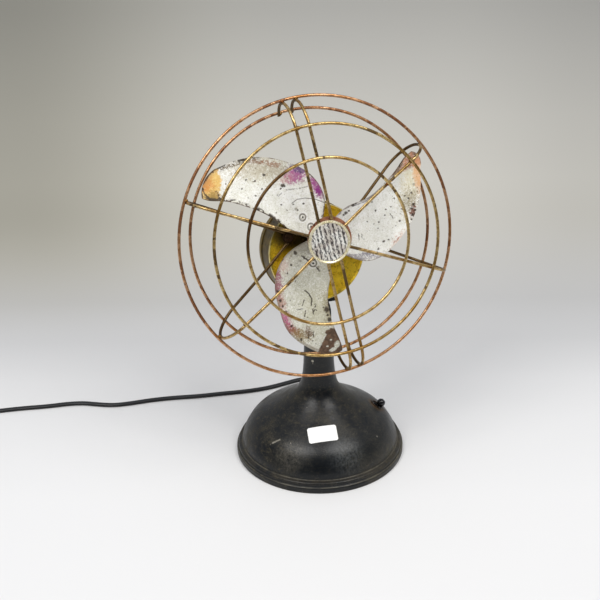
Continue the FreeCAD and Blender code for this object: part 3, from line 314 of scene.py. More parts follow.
# worn black enamel on the casting
def enamel():
    m = Mat("worn_black_enamel", IOR=1.5)
    x, y, z = m.split(m.c)
    rad = m.math("SQRT", m.add(m.mul(x, x), m.mul(y, y)))
    across = m.vec("DOT_PRODUCT", m.c, tuple(studio(1, 0, 0)))
    ahead = m.vec("DOT_PRODUCT", m.c, tuple(studio(0, 1, 0)))
    big = m.noise(15.0, 4, 0.6)
    mid = m.noise(70.0, 5, 0.65)
    fine = m.noise(520.0, 3, 0.6)
    grit = m.noise(1500.0, 2, 0.5)
    rub = m.noise(1.0, 5, 0.7, vec=m.stretch(m.c, (1 / 110.0, 1 / 110.0, 1 / 300.0)))
    # blue-black paint, with brown dust on the top, to the left and low on the right
    col = m.mix(m.step(big, 0.38, 0.64), "#080c10", "#0e1215")
    up = m.step(z, 0.040, 0.062)
    up = m.mul(up, m.step(z, 0.105, 0.075))
    left = m.step(across, -0.010, -0.062)
    low = m.mul(m.step(across, 0.030, 0.075), m.step(z, 0.034, 0.014))
    zone = m.top(m.mul(up, 0.75), m.mul(left, 0.85), low)
    cloud = m.step(m.add(m.mul(big, 0.5), m.mul(mid, 0.5)), 0.40, 0.60)
    col = m.mix(m.mul(m.mul(cloud, m.add(0.14, m.mul(zone, 0.85))), 0.80), col, "#2f2b1f")
    col = m.mix(m.mul(m.mul(m.step(rub, 0.52, 0.72), m.add(0.20, m.mul(zone, 0.7))), 0.65), col, "#514a36")
    dots = m.mul(m.step(m.add(m.mul(fine, 0.5), m.mul(grit, 0.5)), 0.55, 0.65), m.add(0.20, m.mul(zone, 0.70)))
    col = m.mix(m.mul(dots, 0.45), col, "#5f574a")
    # worn places on the shoulder of the bell, with painted highlight: grey and blue-grey patches stand in for the
    # lamps' reflections there
    sheen_wear_l = m.step(m.vec("DISTANCE", m.c, tuple(mm(-50, -57, 33))), 0.026, 0.002)
    sheen_wear_r = m.step(m.vec("DISTANCE", m.c, tuple(mm(6, -76, 34))), 0.028, 0.002)
    streak = m.noise(1.0, 4, 0.7, vec=m.stretch(m.c, (1 / 420.0, 1 / 420.0, 1 / 110.0)))
    speck = m.step(m.add(m.mul(streak, 0.75), m.mul(fine, 0.25)), 0.36, 0.70)
    col = m.mix(m.mul(m.mul(sheen_wear_l, speck), 0.42), col, "#716d65")
    col = m.mix(m.mul(m.mul(sheen_wear_r, speck), 0.40), col, "#6c7071")
    # rubbed edges of the foot and its two steps; the thin light line along the lower step's edge is also a painted edge
    # highlight
    broken = m.step(m.noise(60.0, 4, 0.7), 0.36, 0.60)
    e1 = m.mul(m.step(m.math("ABSOLUTE", m.sub(rad, 0.0916)), 0.0008, 0.0002), m.step(m.math("ABSOLUTE", m.sub(z, 0.0066)), 0.0011, 0.0002))
    e2 = m.mul(m.step(rad, 0.0875, 0.0866), m.step(m.math("ABSOLUTE", m.sub(z, 0.0126)), 0.0009, 0.0002))
    e3 = m.mul(m.step(rad, 0.0916, 0.0923), m.step(z, 0.0016, 0.0))
    col = m.mix(m.mul(m.mul(m.top(e1, e2), m.add(0.30, m.mul(broken, 0.70))), 0.62), col, "#625d50")
    col = m.mix(m.mul(m.mul(e3, broken), 0.6), col, "#6d6552")
    ledge = m.mul(m.mul(m.step(rad, 0.0862, 0.0872), m.step(rad, 0.0907, 0.0899)), m.step(z, 0.0085, 0.0100))
    ledge = m.mul(ledge, m.step(z, 0.0130, 0.0124))
    col = m.mix(m.mul(m.mul(ledge, m.step(m.add(mid, m.mul(m.sub(fine, 0.5), 0.4)), 0.38, 0.60)), 0.42), col, "#2f291e")
    # rust round the switch hole and running down from it
    sw = m.vec("DISTANCE", m.c, tuple(mm(64, -8, 45)))
    run = m.vec("LENGTH", m.place(m.vec("SUBTRACT", m.c, tuple(mm(68.5, -9, 40.5))), turn=math.radians(-7), size=(0.011, 0.0085, 0.011)))
    rust = m.top(m.step(m.add(sw, m.mul(mid, 0.012)), 0.0205, 0.0110), m.mul(m.step(run, 1.4, 0.4), m.step(mid, 0.35, 0.6)))
    col = m.mix(m.mul(rust, 0.85), col, m.mix(m.step(m.add(m.mul(fine, 0.5), m.mul(mid, 0.5)), 0.40, 0.60), "#2b2014", "#6e5535"))
    # chips down to a pale ground, as tiny scattered dots
    d, c = m.cells(190.0, color=True)
    cr, cg, _ = m.split(c)
    chip = m.mul(m.step(m.sub(d, m.mul(cg, 0.08)), 0.05, 0.03), m.step(cr, 0.955, 0.965))
    chip = m.top(m.mul(chip, 0.7), m.step(m.vec("DISTANCE", m.c, tuple(mm(-10.6, -12, 116.7))), 0.0017, 0.0011),
                 m.mul(m.step(m.vec("DISTANCE", m.c, tuple(mm(29.3, -51.9, 49.1))), 0.0010, 0.0003), 0.7),
                 m.mul(m.step(m.vec("DISTANCE", m.c, tuple(mm(46.8, -57.3, 37.5))), 0.0010, 0.0003), 0.7))
    col = m.mix(m.mul(chip, 0.80), col, "#b9b4a6")
    # a light curved scratch on the left of the bell and a few hair lines
    scratch = None
    turns = [mm(-66.0, -35.0, 36.5), mm(-63.6, -35.8, 38.6), mm(-60.6, -36.9, 40.8), mm(-56.6, -38.2, 42.6)]
    for n, (a, b, w, k) in enumerate(((turns[0], turns[1], 0.0007, 0.45), (turns[1], turns[2], 0.0010, 0.95), (turns[2], turns[3], 0.0009, 0.85))):
        ab = b - a
        rel = m.vec("SUBTRACT", m.c, tuple(a))
        t = m.math("MULTIPLY", m.vec("DOT_PRODUCT", rel, tuple(ab)), 1.0 / ab.length_squared, clamp=True)
        near = m.vec("DISTANCE", rel, m.vec("SCALE", tuple(ab), scale=t))
        one = m.mul(m.mul(m.step(m.add(near, m.mul(m.sub(fine, 0.5), 0.0012)), w * 1.5, w * 0.5), m.step(m.noise(420.0, 2), 0.32, 0.50)), k)
        scratch = one if scratch is None else m.top(scratch, one)
    col = m.mix(m.mul(scratch, 0.6), col, "#a5a092")
    hair = m.noise(1.0, 2, 0.5, vec=m.stretch(m.c, (1 / 900.0, 1 / 60.0, 1 / 900.0), 0.6))
    lines = m.mul(m.step(m.math("ABSOLUTE", m.sub(hair, 0.5)), 0.012, 0.002), m.step(big, 0.46, 0.60))
    hair2 = m.noise(1.0, 2, 0.5, vec=m.stretch(m.c, (1 / 70.0, 1 / 700.0, 1 / 700.0), -0.8))
    lines = m.top(lines, m.mul(m.step(m.math("ABSOLUTE", m.sub(hair2, 0.52)), 0.010, 0.002), m.step(mid, 0.48, 0.62)))
    col = m.mix(m.mul(lines, 0.32), col, "#8f8877")
    r = m.add(m.add(0.21, m.mul(mid, 0.22)), m.mul(m.top(rust, m.mul(m.mul(cloud, zone), 0.8), m.mul(m.top(sheen_wear_l, sheen_wear_r), 0.25)), 0.24))
    m.set(Base_Color=col, Roughness=r)
    m.b.inputs["Specular IOR Level"].default_value = 0.33
    m.bump(m.noise(38.0, 2, 0.5), 0.0010, 0.35)
    m.bump(m.add(m.mul(fine, 0.6), m.mul(mid, 0.8)), 0.0004, 0.55)
    m.bump(m.top(chip, e1, scratch), 0.0002, -0.6)
    return m


# bare and painted small metal
def metal(name, dark, light, rust="#5a3a22", amount=0.35, rough=(0.3, 0.55), metallic=1.0, scale=1.0):
    m = Mat(name, Metallic=metallic)
    a = m.noise(140.0 * scale, 4, 0.6)
    b = m.noise(700.0 * scale, 3, 0.6)
    c = m.noise(2400.0 * scale, 2, 0.5)
    col = m.mix(m.step(m.add(m.mul(a, 0.6), m.mul(b, 0.4)), 0.36, 0.64), dark, light)
    r = m.step(m.add(m.mul(a, 0.5), m.mul(b, 0.5)), 0.60 - amount * 0.35, 0.74 - amount * 0.35)
    col = m.mix(m.mul(r, 0.8), col, rust)
    m.set(Base_Color=col, Roughness=m.add(m.add(rough[0], m.mul(b, rough[1] - rough[0])), m.mul(r, 0.2)))
    m.bump(m.add(m.mul(b, 0.7), m.mul(c, 0.3)), 0.00015, 0.5)
    return m


def wire(name, dark, brass, pale, rust, rust_amount, speck=0.5, metallic=0.9, dark_patches=(), shaded_behind=None):
    """Guard wire: worn plating over brown steel, mottled every few millimetres."""
    m = Mat(name, Metallic=metallic)
    a = m.noise(30.0, 4, 0.65)
    b = m.noise(230.0, 4, 0.7)
    c = m.noise(1100.0, 3, 0.6)
    col = m.mix(m.step(m.add(m.mul(a, 0.5), m.mul(b, 0.5)), 0.40, 0.60), brass, pale)
    # whole lengths of wire where the plating has gone brown
    zone = m.step(a, 0.62 - rust_amount * 0.30, 0.70 - rust_amount * 0.30)
    if dark_patches:
        uv = m.plane()
        spots = [m.blob(uv, at, size, turn, 0.35) for at, size, turn in dark_patches]
        zone = m.top(zone, *spots)
    # painted shade: the lengths behind this depth, back by the housing, are made dark brown
    if shaded_behind is not None:
        rel = m.vec("SUBTRACT", m.c, tuple(HUB))
        d = m.vec("DOT_PRODUCT", rel, tuple(AX_D * 1000.0))
        zone = m.top(zone, m.mul(m.step(d, shaded_behind + 6.0, shaded_behind - 6.0), 0.9))
    col = m.mix(m.mul(m.step(m.add(zone, m.mul(m.sub(b, 0.5), 1.2)), 0.40, 0.75), 0.85), col, m.mix(m.mul(m.step(c, 0.46, 0.60), 0.75), rust, dark))
    dk = m.step(m.add(m.mul(b, 0.35), m.mul(c, 0.65)), 0.560 - 0.05 * speck, 0.65 - 0.03 * speck)
    col = m.mix(m.mul(dk, 0.78), col, dark)
    m.set(Base_Color=col, Roughness=m.add(m.add(0.25, m.mul(b, 0.16)), m.add(m.mul(dk, 0.16), m.mul(zone, 0.12))))
    m.bump(m.add(m.mul(b, 0.5), m.mul(c, 0.5)), 0.00022, 0.55)
    return m


# gilt paint on the pressed steel housing
def gilt(name, cover):
    m = Mat(name, Metallic=0.62)
    uv = m.plane()
    rel = m.vec("SUBTRACT", m.c, tuple(HUB))
    d = m.vec("DOT_PRODUCT", rel, tuple(AX_D * 1000.0))
    a = m.noise(26.0, 4, 0.6)
    b = m.noise(150.0, 4, 0.65)
    c = m.noise(900.0, 3, 0.6)
    face = m.mix(m.step(m.add(m.mul(a, 0.6), m.mul(b, 0.4)), 0.38, 0.62), "#cfa214", "#ffda36")
    run = m.noise(1.0, 4, 0.65, vec=m.place(m.join(m.vec("DOT_PRODUCT", rel, tuple(AX_U * 1000.0)), d), turn=0.0, size=(3.5, 30.0, 1)))
    # painted shade: the side takes a darker olive copy of the gilt, as the side wall is turned from the light; the rear
    # cover uses this copy too
    side = m.mix(m.step(m.add(m.mul(run, 0.6), m.mul(b, 0.4)), 0.38, 0.62), "#574308", "#a4851f")
    side = m.mix(m.mul(m.step(run, 0.50, 0.64), 0.75), side, "#2a2010")
    q = m.vec("DISTANCE", uv, (1.6, -19.0, 0.0))
    fr = m.mul(m.step(d, -4.0, 0.6), m.step(q, 51.3, 50.6))
    if cover:
        col = side
    else:
        col = m.mix(fr, side, face)
        # painted highlight: a bright pale line where the face turns into the side
        rim_highlight = m.mul(m.step(q, 50.0, 50.8), m.step(d, -1.8, -0.4))
        col = m.mix(m.mul(rim_highlight, m.step(b, 0.30, 0.5)), col, "#e9dca2")
        # painted shadow with some grime near the shaft and in the patch left of the badge, where blade A shades the
        # face; patchy darkening from near the edge outwards
        edge_dark = m.mul(m.mul(m.step(m.add(q, m.mul(b, 9.0)), 50.0, 55.5), m.step(b, 0.3, 0.7)), m.sub(1.0, rim_highlight))
        hub_shade = m.step(m.add(m.vec("LENGTH", uv), m.mul(b, 7.0)), 23.0, 11.0)
        shade_left_of_badge = m.blob(m.vec("ADD", uv, m.join(m.mul(m.sub(b, 0.5), 14.0), m.mul(m.sub(b, 0.5), 14.0))), (-21, 2), (27, 15), -8, 0.45)
        col = m.mix(m.mul(m.top(edge_dark, hub_shade, shade_left_of_badge), 0.93), col, m.mix(c, "#0f0b07", "#2c2010"))
        # painted reflection: darker radial streaks across the face, as a dished shiny face would show
        reflection_streaks = m.noise(1.0, 4, 0.7, vec=m.place(uv, turn=math.radians(62), size=(22.0, 2.6, 1)))
        col = m.mix(m.mul(m.step(reflection_streaks, 0.55, 0.66), 0.45), col, "#6d5410")
    sp = m.step(m.add(m.mul(b, 0.5), m.mul(c, 0.5)), 0.60, 0.68)
    col = m.mix(m.mul(sp, 0.6), col, "#3a2c12")
    m.set(Base_Color=col, Roughness=m.add(m.mixf(fr, 0.34, 0.20), m.mul(b, 0.16)))
    m.bump(m.noise(34.0, 2, 0.5), 0.0018, 0.30)
    m.bump(m.add(m.mul(b, 0.5), m.mul(c, 0.5)), 0.0002, 0.4)
    return m


BLADES = {
    "blade_1": dict(root=125.6, ground=("#f6f6f1", "#dcdccf", "#b3ab97"),
        trail=[(10, 50), (16, 45.2), (22, 39.2), (34, 32.5), (46, 28.2), (58, 25.5), (70, 24.7), (82, 25.1), (94, 25.8), (106, 27.1), (118, 29.2), (130, 30.0)],
        lead=[(10, -58), (16, -56.2), (22, -55.0), (34, -52.6), (46, -46.2), (58, -37.5), (70, -28.2), (82, -18.6), (94, -10.0), (106, -1.7), (118, 7.3), (130, 15.1)],
        tip=[(29.6, 126.2), (27.2, 128.3), (24.8, 129.6), (22.4, 130.1), (20.0, 129.8), (17.6, 128.7), (15.2, 126.8)]),
    "blade_2": dict(root=9.0, ground=("#fafaf6", "#e3e3da", "#b9b3a2"),
        trail=[(10, 50), (16, 46.4), (22, 42.4), (34, 38.6), (46, 32.7), (58, 26.7), (70, 24.8), (82, 25.0), (94, 25.4), (106, 26.3), (118, 27.5), (130, 27.1)],
        lead=[(10, -58), (16, -55.7), (22, -53.5), (34, -50.1), (46, -46.7), (58, -41.8), (70, -32.4), (82, -20.8), (94, -10.6), (106, -1.0), (118, 9.3), (130, 19.3)],
        tip=[(27.1, 127.5), (25.8, 129.6), (24.5, 130.9), (23.2, 131.4), (21.9, 131.0), (20.6, 129.9), (19.4, 128.0)]),
    "blade_3": dict(root=249.6, ground=("#e4e3d6", "#c8c7b4", "#8f8a74"),
        trail=[(10, 50), (16, 45.2), (22, 39.4), (34, 32.8), (46, 26.5), (58, 21.7), (70, 20.9), (82, 22.3), (94, 24.0), (106, 26.0), (118, 27.1), (130, 26.8)],
        lead=[(10, -58), (16, -55.4), (22, -53.0), (34, -48.5), (46, -42.1), (58, -34.3), (70, -24.8), (82, -15.2), (94, -7.5), (106, 1.7), (118, 15.0), (130, 22.8)],
        tip=[(26.8, 122.5), (25.3, 124.6), (23.9, 125.9), (22.5, 126.3), (21.1, 126.0), (19.8, 124.9), (18.5, 123.0)]),
}


def paint(node):
    """Chipped white paint on one blade, with its own stains, chips and rusty edges."""
    spec = BLADES[node]
    m = Mat("white_blade_paint_" + node[-1], IOR=1.5)
    uv0 = m.plane()
    wx, wy, _ = m.split(m.noise(160.0, 3, 0.6, color=True))
    wob = m.join(m.mul(m.sub(wx, 0.5), 7.0), m.mul(m.sub(wy, 0.5), 7.0))
    uv = m.vec("ADD", uv0, wob)
    fx, fy, _ = m.split(m.noise(520.0, 2, 0.5, color=True))
    fine_wob = m.join(m.mul(m.sub(fx, 0.5), 2.4), m.mul(m.sub(fy, 0.5), 2.4))
    uvf = m.vec("ADD", uv0, fine_wob)
    # distance to the blade's own edges, in millimetres
    rot = m.place(uv0, turn=math.radians(spec["root"]))
    px, py, _ = m.split(rot)
    rad = m.vec("LENGTH", uv0)
    ang = m.math("ARCTAN2", py, px)
    rn = m.math("DIVIDE", rad, 140.0)

    def table(pts):
        return [(0.0, math.radians(pts[0][1]) / math.pi + 0.5)] + [(r / 140.0, math.radians(a) / math.pi + 0.5) for r, a in pts] + [(1.0, math.radians(pts[-1][1]) / math.pi + 0.5)]

    def angle_at(pts):
        return m.mul(m.sub(m.curve(rn, table(pts)), 0.5), math.pi)

    e_trail = m.mul(m.sub(angle_at(spec["trail"]), ang), rad)
    e_lead = m.mul(m.mul(m.sub(ang, angle_at(spec["lead"])), rad), 0.86)
    tip = sorted(spec["tip"])
    tipc = [(0.0, tip[0][1] / 140.0)] + [(math.radians(a) / math.pi + 0.5, r / 140.0) for a, r in tip] + [(1.0, tip[-1][1] / 140.0)]
    e_tip = m.sub(m.mul(m.curve(m.add(m.math("DIVIDE", ang, math.pi), 0.5), tipc), 140.0), rad)
    edge = m.math("MINIMUM", m.math("MINIMUM", e_trail, e_lead), e_tip)

    big = m.noise(22.0, 4, 0.6)
    mid = m.noise(95.0, 5, 0.7)
    fine = m.noise(420.0, 4, 0.7)
    grit = m.noise(1300.0, 3, 0.6)
    speck = m.add(m.mul(fine, 0.5), m.mul(grit, 0.5))
    # ground: white, slightly yellowed and greyed in clouds
    col = m.mix(m.step(m.add(m.mul(big, 0.5), m.mul(mid, 0.5)), 0.38, 0.60), spec["ground"][0], spec["ground"][1])
    col = m.mix(m.mul(m.step(speck, 0.50, 0.62), 0.55), col, spec["ground"][2])
    col = m.mix(m.mul(m.step(m.noise(800.0, 3, 0.6), 0.50, 0.62), 0.55), col, "#ffffff")
    pit = None

    def dig(mask):
        nonlocal pit
        pit = mask if pit is None else m.math("MAXIMUM", pit, mask)

    def tint(mask, colour, amount=1.0):
        nonlocal col
        col = m.mix(m.mul(mask, amount), col, colour)

    def grain(mask, lo=0.42, hi=0.66, much=2.6):
        """A mask whose border breaks up into specks."""
        return m.step(m.add(mask, m.mul(m.sub(speck, 0.5), m.mul(much * 1.7, m.step(mask, 0.0, 0.25)))), lo - 0.10, hi + 0.34)

    def marks(points, flat=0.8, turn=0, soft=0.45):
        for p, r in points:
            dig(m.blob(uvf, p, (r, r * flat), turn, soft))

    if node == "blade_1":
        tint(grain(m.blob(uv, (-56, 76), (34, 13), -6, 0.7), 0.35, 0.75), "#b5a98a", 0.62)
        tint(grain(m.blob(uv, (-36, 70), (34, 9), -22, 0.7), 0.45, 0.85), "#a89c85", 0.45)
        tip = m.side(uv, (-89.5, 58.0), (-1, -0.30), 4.0)
        tip = m.mul(tip, m.side(uv, (-87.5, 84.0), (-1, 0.35), 3.0))
        tint(grain(m.mul(tip, 0.9), 0.34, 0.42, 1.6), m.mix(m.step(mid, 0.40, 0.60), "#ecc976", "#d6a748"), 0.95)
        tint(grain(m.blob(uv, (-111, 68), (9, 10), 60, 0.7), 0.34, 0.5, 1.8), "#cc7f3a", 0.70)
        tint(grain(m.blob(uv, (-104, 53), (8, 6), 20, 0.7), 0.30, 0.8, 1.8), "#8d7232", 0.85)
        tint(grain(m.blob(uv, (-101, 79), (9, 5), 30, 0.7), 0.35, 0.8), "#d8a85e", 0.6)
        tint(m.mul(m.stroke(uvf, (-100.2, 58.9), (-97.0, 50.0), 1.0), m.step(fine, 0.40, 0.52)), "#32281d", 0.95)
        dig(m.mul(m.stroke(uvf, (-112.6, 63.0), (-111.2, 56.3), 1.1), 0.95))
        dig(m.mul(m.stroke(uvf, (-111.2, 56.6), (-106.5, 50.4), 1.5), 0.95))
        dig(m.mul(m.stroke(uvf, (-106.5, 50.4), (-98.4, 49.0), 1.2), m.step(fine, 0.38, 0.50)))
        tint(grain(m.blob(uv, (-17, 66.5), (14, 8.5), 20, 0.75), 0.38, 0.62), "#a8448c", 0.88)
        tint(grain(m.blob(uv, (-13, 71.0), (12, 5.0), -20, 0.75), 0.40, 0.66), "#584a78", 0.85)
        tint(grain(m.blob(uv, (3.2, 52), (7, 14), 22, 0.75), 0.36, 0.60), "#a03a88", 0.92)
        tint(grain(m.blob(uv, (5.5, 47), (4.5, 6), 0, 0.7), 0.36, 0.60), "#8c2080", 0.85)
        tint(grain(m.blob(uv, (-29, 62), (9, 5), 15, 0.8), 0.45, 0.8), "#c88a86", 0.50)
        tint(grain(m.mul(m.stroke(uv, (-66, 83.6), (-51, 82.0), 3.2), 0.8), 0.46, 0.62), "#7a5034", 0.75)
        tint(grain(m.mul(m.stroke(uv, (-51, 81.4), (-34, 76.4), 4.0), 0.8), 0.46, 0.62), "#8f5c40", 0.70)
        tint(grain(m.mul(m.stroke(uv, (-92, 79.5), (-66, 86), 4.0), 0.7), 0.48, 0.62), "#5c4a2c", 0.90)
        for p, q in (((-25.7, 37.5), (-19.6, 40.6)), ((-19.6, 40.6), (-10.8, 40.8)), ((-10.8, 40.8), (-0.2, 38.3)), ((-0.2, 38.3), (9.1, 33.5))):
            dig(m.mul(m.stroke(uv0, p, q, 0.6), 0.8))
        for p, q in (((-29.6, 51.4), (-18.3, 51.2)), ((-18.3, 51.2), (-5.7, 51.8)), ((-39.9, 45.8), (-34.6, 49.4))):
            dig(m.mul(m.mul(m.stroke(uvf, p, q, 0.6), m.step(fine, 0.40, 0.5)), 0.7))
        marks((((-50.8, 68.9), 1.6), ((-32.9, 56.3), 2.1), ((-31.0, 55.6), 1.2), ((-13.2, 35.3), 1.2), ((-60.6, 64.2), 1.0), ((-54.7, 55.6), 1.0), ((-35.5, 53.5), 1.1),
               ((-42, 62), 1.0), ((-69.5, 66.0), 1.0), ((-75.0, 58.0), 0.9), ((-24.0, 36.5), 0.9), ((-37.0, 38.0), 1.0), ((-20.0, 30.0), 0.9), ((-62.0, 50.0), 0.9)))
        # broken flakes along the upper and the lower edge
        gone = m.noise(135.0, 3, 0.65)
        dig(m.mul(m.mul(m.step(m.sub(e_lead, m.mul(m.sub(mid, 0.5), 5.0)), 5.4, 3.2), m.blob(uv0, (-79, 84), (24, 14), 10, 0.3)), m.step(gone, 0.43, 0.50)))
        dig(m.mul(m.mul(m.step(m.sub(e_trail, m.mul(m.sub(mid, 0.5), 4.0)), 4.0, 2.0), m.step(rad, 40.0, 46.0)), m.step(gone, 0.47, 0.52)))
        edge_amount = 0.60
    elif node == "blade_2":
        tint(grain(m.blob(uv, (98, 40), (13, 34), -8, 0.8), 0.40, 0.85), "#d9cda0", 0.60)
        tint(grain(m.blob(uv, (108.5, 50), (5, 19), 2, 0.8), 0.25, 0.70, 1.4), "#dfa871", 0.85)
        tipm = m.side(uv, (103, 58.5), (-0.25, 1), 2.6)
        tint(grain(m.mul(tipm, 0.9), 0.30, 0.70, 1.4), m.mix(m.step(mid, 0.42, 0.60), "#c27a48", "#8f4f2c"), 0.95)
        tint(grain(m.blob(uv, (108, 64), (6, 7), 0, 0.7), 0.30, 0.8, 1.4), "#d99a6a", 0.6)
        # painted shade: a dark grey band along the upper edge near the tip
        tint(grain(m.mul(m.stroke(uv, (92, 64.5), (80, 54.5), 3.6), 0.8), 0.42, 0.66), "#5b5648", 0.90)
        tint(grain(m.blob(uv, (99, 24), (12, 17), 0, 0.8), 0.62, 0.80), "#857652", 0.60)
        tint(grain(m.blob(uv, (100.5, 13.5), (5.0, 8.0), 0, 0.7), 0.50, 0.68), "#6f3422", 0.90)
        for p, q in (((72.4, -21.6), (80.1, -18.5)), ((80.1, -18.5), (87.2, -14.0)), ((87.2, -14.0), (92.2, -6.0)), ((83.0, -10.0), (79.0, -14.6)), ((76.0, -16.0), (83.0, -10.0))):
            tint(m.mul(m.stroke(uvf, p, q, 1.0), m.step(fine, 0.38, 0.48)), "#8a5240", 0.85)
        tint(grain(m.blob(uv, (83, -13), (11, 6), 45, 0.8), 0.45, 0.85), "#d9b09e", 0.55)
        # painted shade: a grey-purple band along the lower edge near the root, where the edge curls back from the light
        tint(grain(m.mul(m.stroke(uv, (24, -24), (66, -27.5), 5.0), 0.75), 0.42, 0.64), "#6d6476", 0.80)
        # painted shadow: a thin grey-purple line beside the folded upper edge
        for p, q in (((33.6, 28.0), (47.4, 31.5)), ((47.4, 31.5), (61.9, 38.8)), ((61.9, 38.8), (73.4, 46.6)), ((73.4, 46.6), (80.0, 52.0))):
            tint(m.mul(m.stroke(uv0, p, q, 1.1), m.step(fine, 0.34, 0.46)), "#7c7684", 0.80)
        for p, q in (((74.6, 15.0), (77.9, 9.6)), ((40.7, -2.0), (41.1, -8.5)), ((44.0, -3.0), (44.4, -7.0))):
            dig(m.mul(m.stroke(uvf, p, q, 0.65), 0.85))
        for p, q in (((91.5, 67.0), (97.5, 73.5)), ((84, 60.5), (91.5, 67.0))):
            dig(m.mul(m.stroke(uvf, p, q, 1.0), 0.85))
        marks((((27.5, 21.8), 2.0), ((30.5, 24.0), 1.2), ((34.6, 29.3), 1.7), ((37.6, 30.6), 1.2), ((58.8, 20.3), 1.2), ((69.0, 14.2), 1.0), ((88, 62), 1.4), ((92, 31), 1.1), ((99.5, 33), 1.3),
               ((96, 28), 1.1), ((101, 21), 1.6), ((98.5, 17), 1.4), ((102, 15), 1.5), ((99.0, 10.5), 1.7), ((102.2, 11.5), 1.4), ((97.5, 6.0), 1.3), ((94.0, 1.5), 1.2), ((62, 8), 1.0), ((70, 20), 1.0), ((85, 6), 1.2),
               ((66, -13), 1.5), ((71.5, -12), 1.1), ((25, 20), 1.3), ((55.0, 30.0), 0.9), ((80.0, 30.0), 0.9), ((76.0, 22.0), 0.8), ((50.0, 10.0), 0.8), ((88.0, 18.0), 1.0), ((91.0, 12.0), 1.0), ((60.0, -20.0), 1.2)))
        edge_amount = 0.30
    else:
        # painted shadow of the badge, with some dirt: grey patches on the upper part by the hub
        tint(grain(m.blob(uv, (-18, -9), (17, 9), -10, 0.8), 0.35, 0.80, 1.6), "#7d786c", 0.80)
        tint(grain(m.blob(uv, (-32, -15), (16, 10), 0, 0.8), 0.40, 0.85), "#9f9b8c", 0.55)
        tint(grain(m.blob(uv, (-12, -78), (16, 24), 0, 0.8), 0.35, 0.85), "#bdb894", 0.50)
        tint(grain(m.blob(uv, (-1.0, -72), (5, 20), 5, 0.8), 0.40, 0.80), "#8f8458", 0.65)
        tint(grain(m.blob(uv, (-41, -24), (9, 10), 0, 0.8), 0.45, 0.85), "#d0aa9c", 0.55)
        tint(grain(m.blob(uv, (-48.8, -44), (6.0, 17), -8, 0.8), 0.36, 0.62), "#8f3b58", 0.90)
        tint(grain(m.blob(uv, (-46, -62), (5.0, 11), 5, 0.8), 0.42, 0.70), "#a86a58", 0.70)
        tint(grain(m.blob(uv, (-43.0, -82), (5.5, 14), 20, 0.8), 0.36, 0.60), "#b0527e", 0.90)
        tint(grain(m.blob(uv, (-34, -94), (10, 4.5), -38, 0.8), 0.38, 0.62), "#8c4638", 0.88)
        tint(grain(m.blob(uv, (-26, -99), (12, 6.5), -30, 0.8), 0.42, 0.70), "#8a7440", 0.80)
        tint(grain(m.blob(uv, (-20, -97), (5, 7), 0, 0.8), 0.42, 0.70), "#6a4a30", 0.75)
        for p, q in (((-20.7, -52.4), (-17.1, -56.0)), ((-17.1, -56.0), (-14.6, -61.8)), ((-14.6, -61.8), (-15.7, -68.7))):
            dig(m.stroke(m.vec("ADD", uv0, m.vec("SCALE", fine_wob, scale=0.4)), p, q, 0.95))
        for p, q in (((-21.7, -62.0), (-24.8, -68.1)), ((-21.7, -73.2), (-23.1, -79.8)), ((-11.0, -67.7), (-13.9, -76.0)), ((-19.5, -96), (-20.5, -106)), ((-14.5, -72.5), (-14.0, -78.5)),
                     ((-15.0, -97.0), (-15.6, -103.0)), ((-10.5, -74.0), (-14.0, -72.0)), ((-30.0, -71.5), (-24.0, -71.0))):
            dig(m.mul(m.stroke(uvf, p, q, 0.75), m.step(fine, 0.38, 0.48)))
        for p, q in (((-20.0, -17.0), (-11.0, -25.0)), ((-11.0, -25.0), (-4.0, -34.1)), ((-13.0, -22.0), (-7.0, -22.0))):
            dig(m.mul(m.stroke(uvf, p, q, 1.3), m.step(fine, 0.34, 0.46)))
        marks((((-1.2, -74.2), 2.4), ((1.2, -85.2), 2.0), ((-0.2, -80.0), 1.1), ((2.0, -66.0), 1.1), ((-33.5, -8.0), 1.2), ((-39.5, -18.5), 1.3), ((-31.0, -25.0), 0.9), ((-25.5, -13.5), 1.6), ((-28, -104), 1.3),
               ((-37, -88), 1.1), ((-46.0, -60.0), 1.3), ((-44.0, -66.0), 1.1), ((-48.0, -50.0), 1.0), ((-41.0, -72.0), 0.9), ((-36.0, -33.0), 0.8), ((-33.0, -41.0), 0.8)), 1.3, 10, 0.4)
        edge_amount = 0.10

    # rivet heads: a dark dimple, a painted ring and a dark crack round it
    turn = math.radians(spec["root"])
    for r in (14.2, 27.4):
        at = (r * math.cos(turn), r * math.sin(turn), 0.0)
        q = m.vec("DISTANCE", uv0, at)
        ringm = m.mul(m.step(q, 3.0, 3.3), m.step(q, 4.3, 3.8))
        col = m.mix(m.mul(ringm, 0.80), col, "#4e4636")
        col = m.mix(m.mul(m.mul(m.step(q, 4.3, 4.7), m.step(q, 6.4, 5.2)), 0.35), col, "#ffffff")

    # dark pits, scattered all over
    d1, c1 = m.cells(260.0, color=True)
    k1, k2, _ = m.split(c1)
    pits = m.mul(m.step(m.sub(m.add(d1, m.mul(grit, 0.12)), m.mul(k2, 0.16)), 0.20, 0.10), m.step(k1, 0.66, 0.70))
    pits = m.mul(pits, m.step(mid, 0.42, 0.56))
    col = m.mix(m.mul(pits, 0.85), col, "#4a3f2c")
    d3, c3 = m.cells(560.0, color=True)
    i1, _, _ = m.split(c3)
    pricks = m.mul(m.step(d3, 0.30, 0.16), m.step(i1, 0.80, 0.84))
    col = m.mix(m.mul(pricks, 0.60), col, "#6d5f45")
    d2, c2 = m.cells(120.0, color=True)
    j1, _, _ = m.split(c2)
    flakes = m.mul(m.step(m.add(d2, m.mul(fine, 0.35)), 0.38, 0.30), m.step(j1, 0.90, 0.92))
    col = m.mix(m.mul(flakes, 0.60), col, "#7d745e")
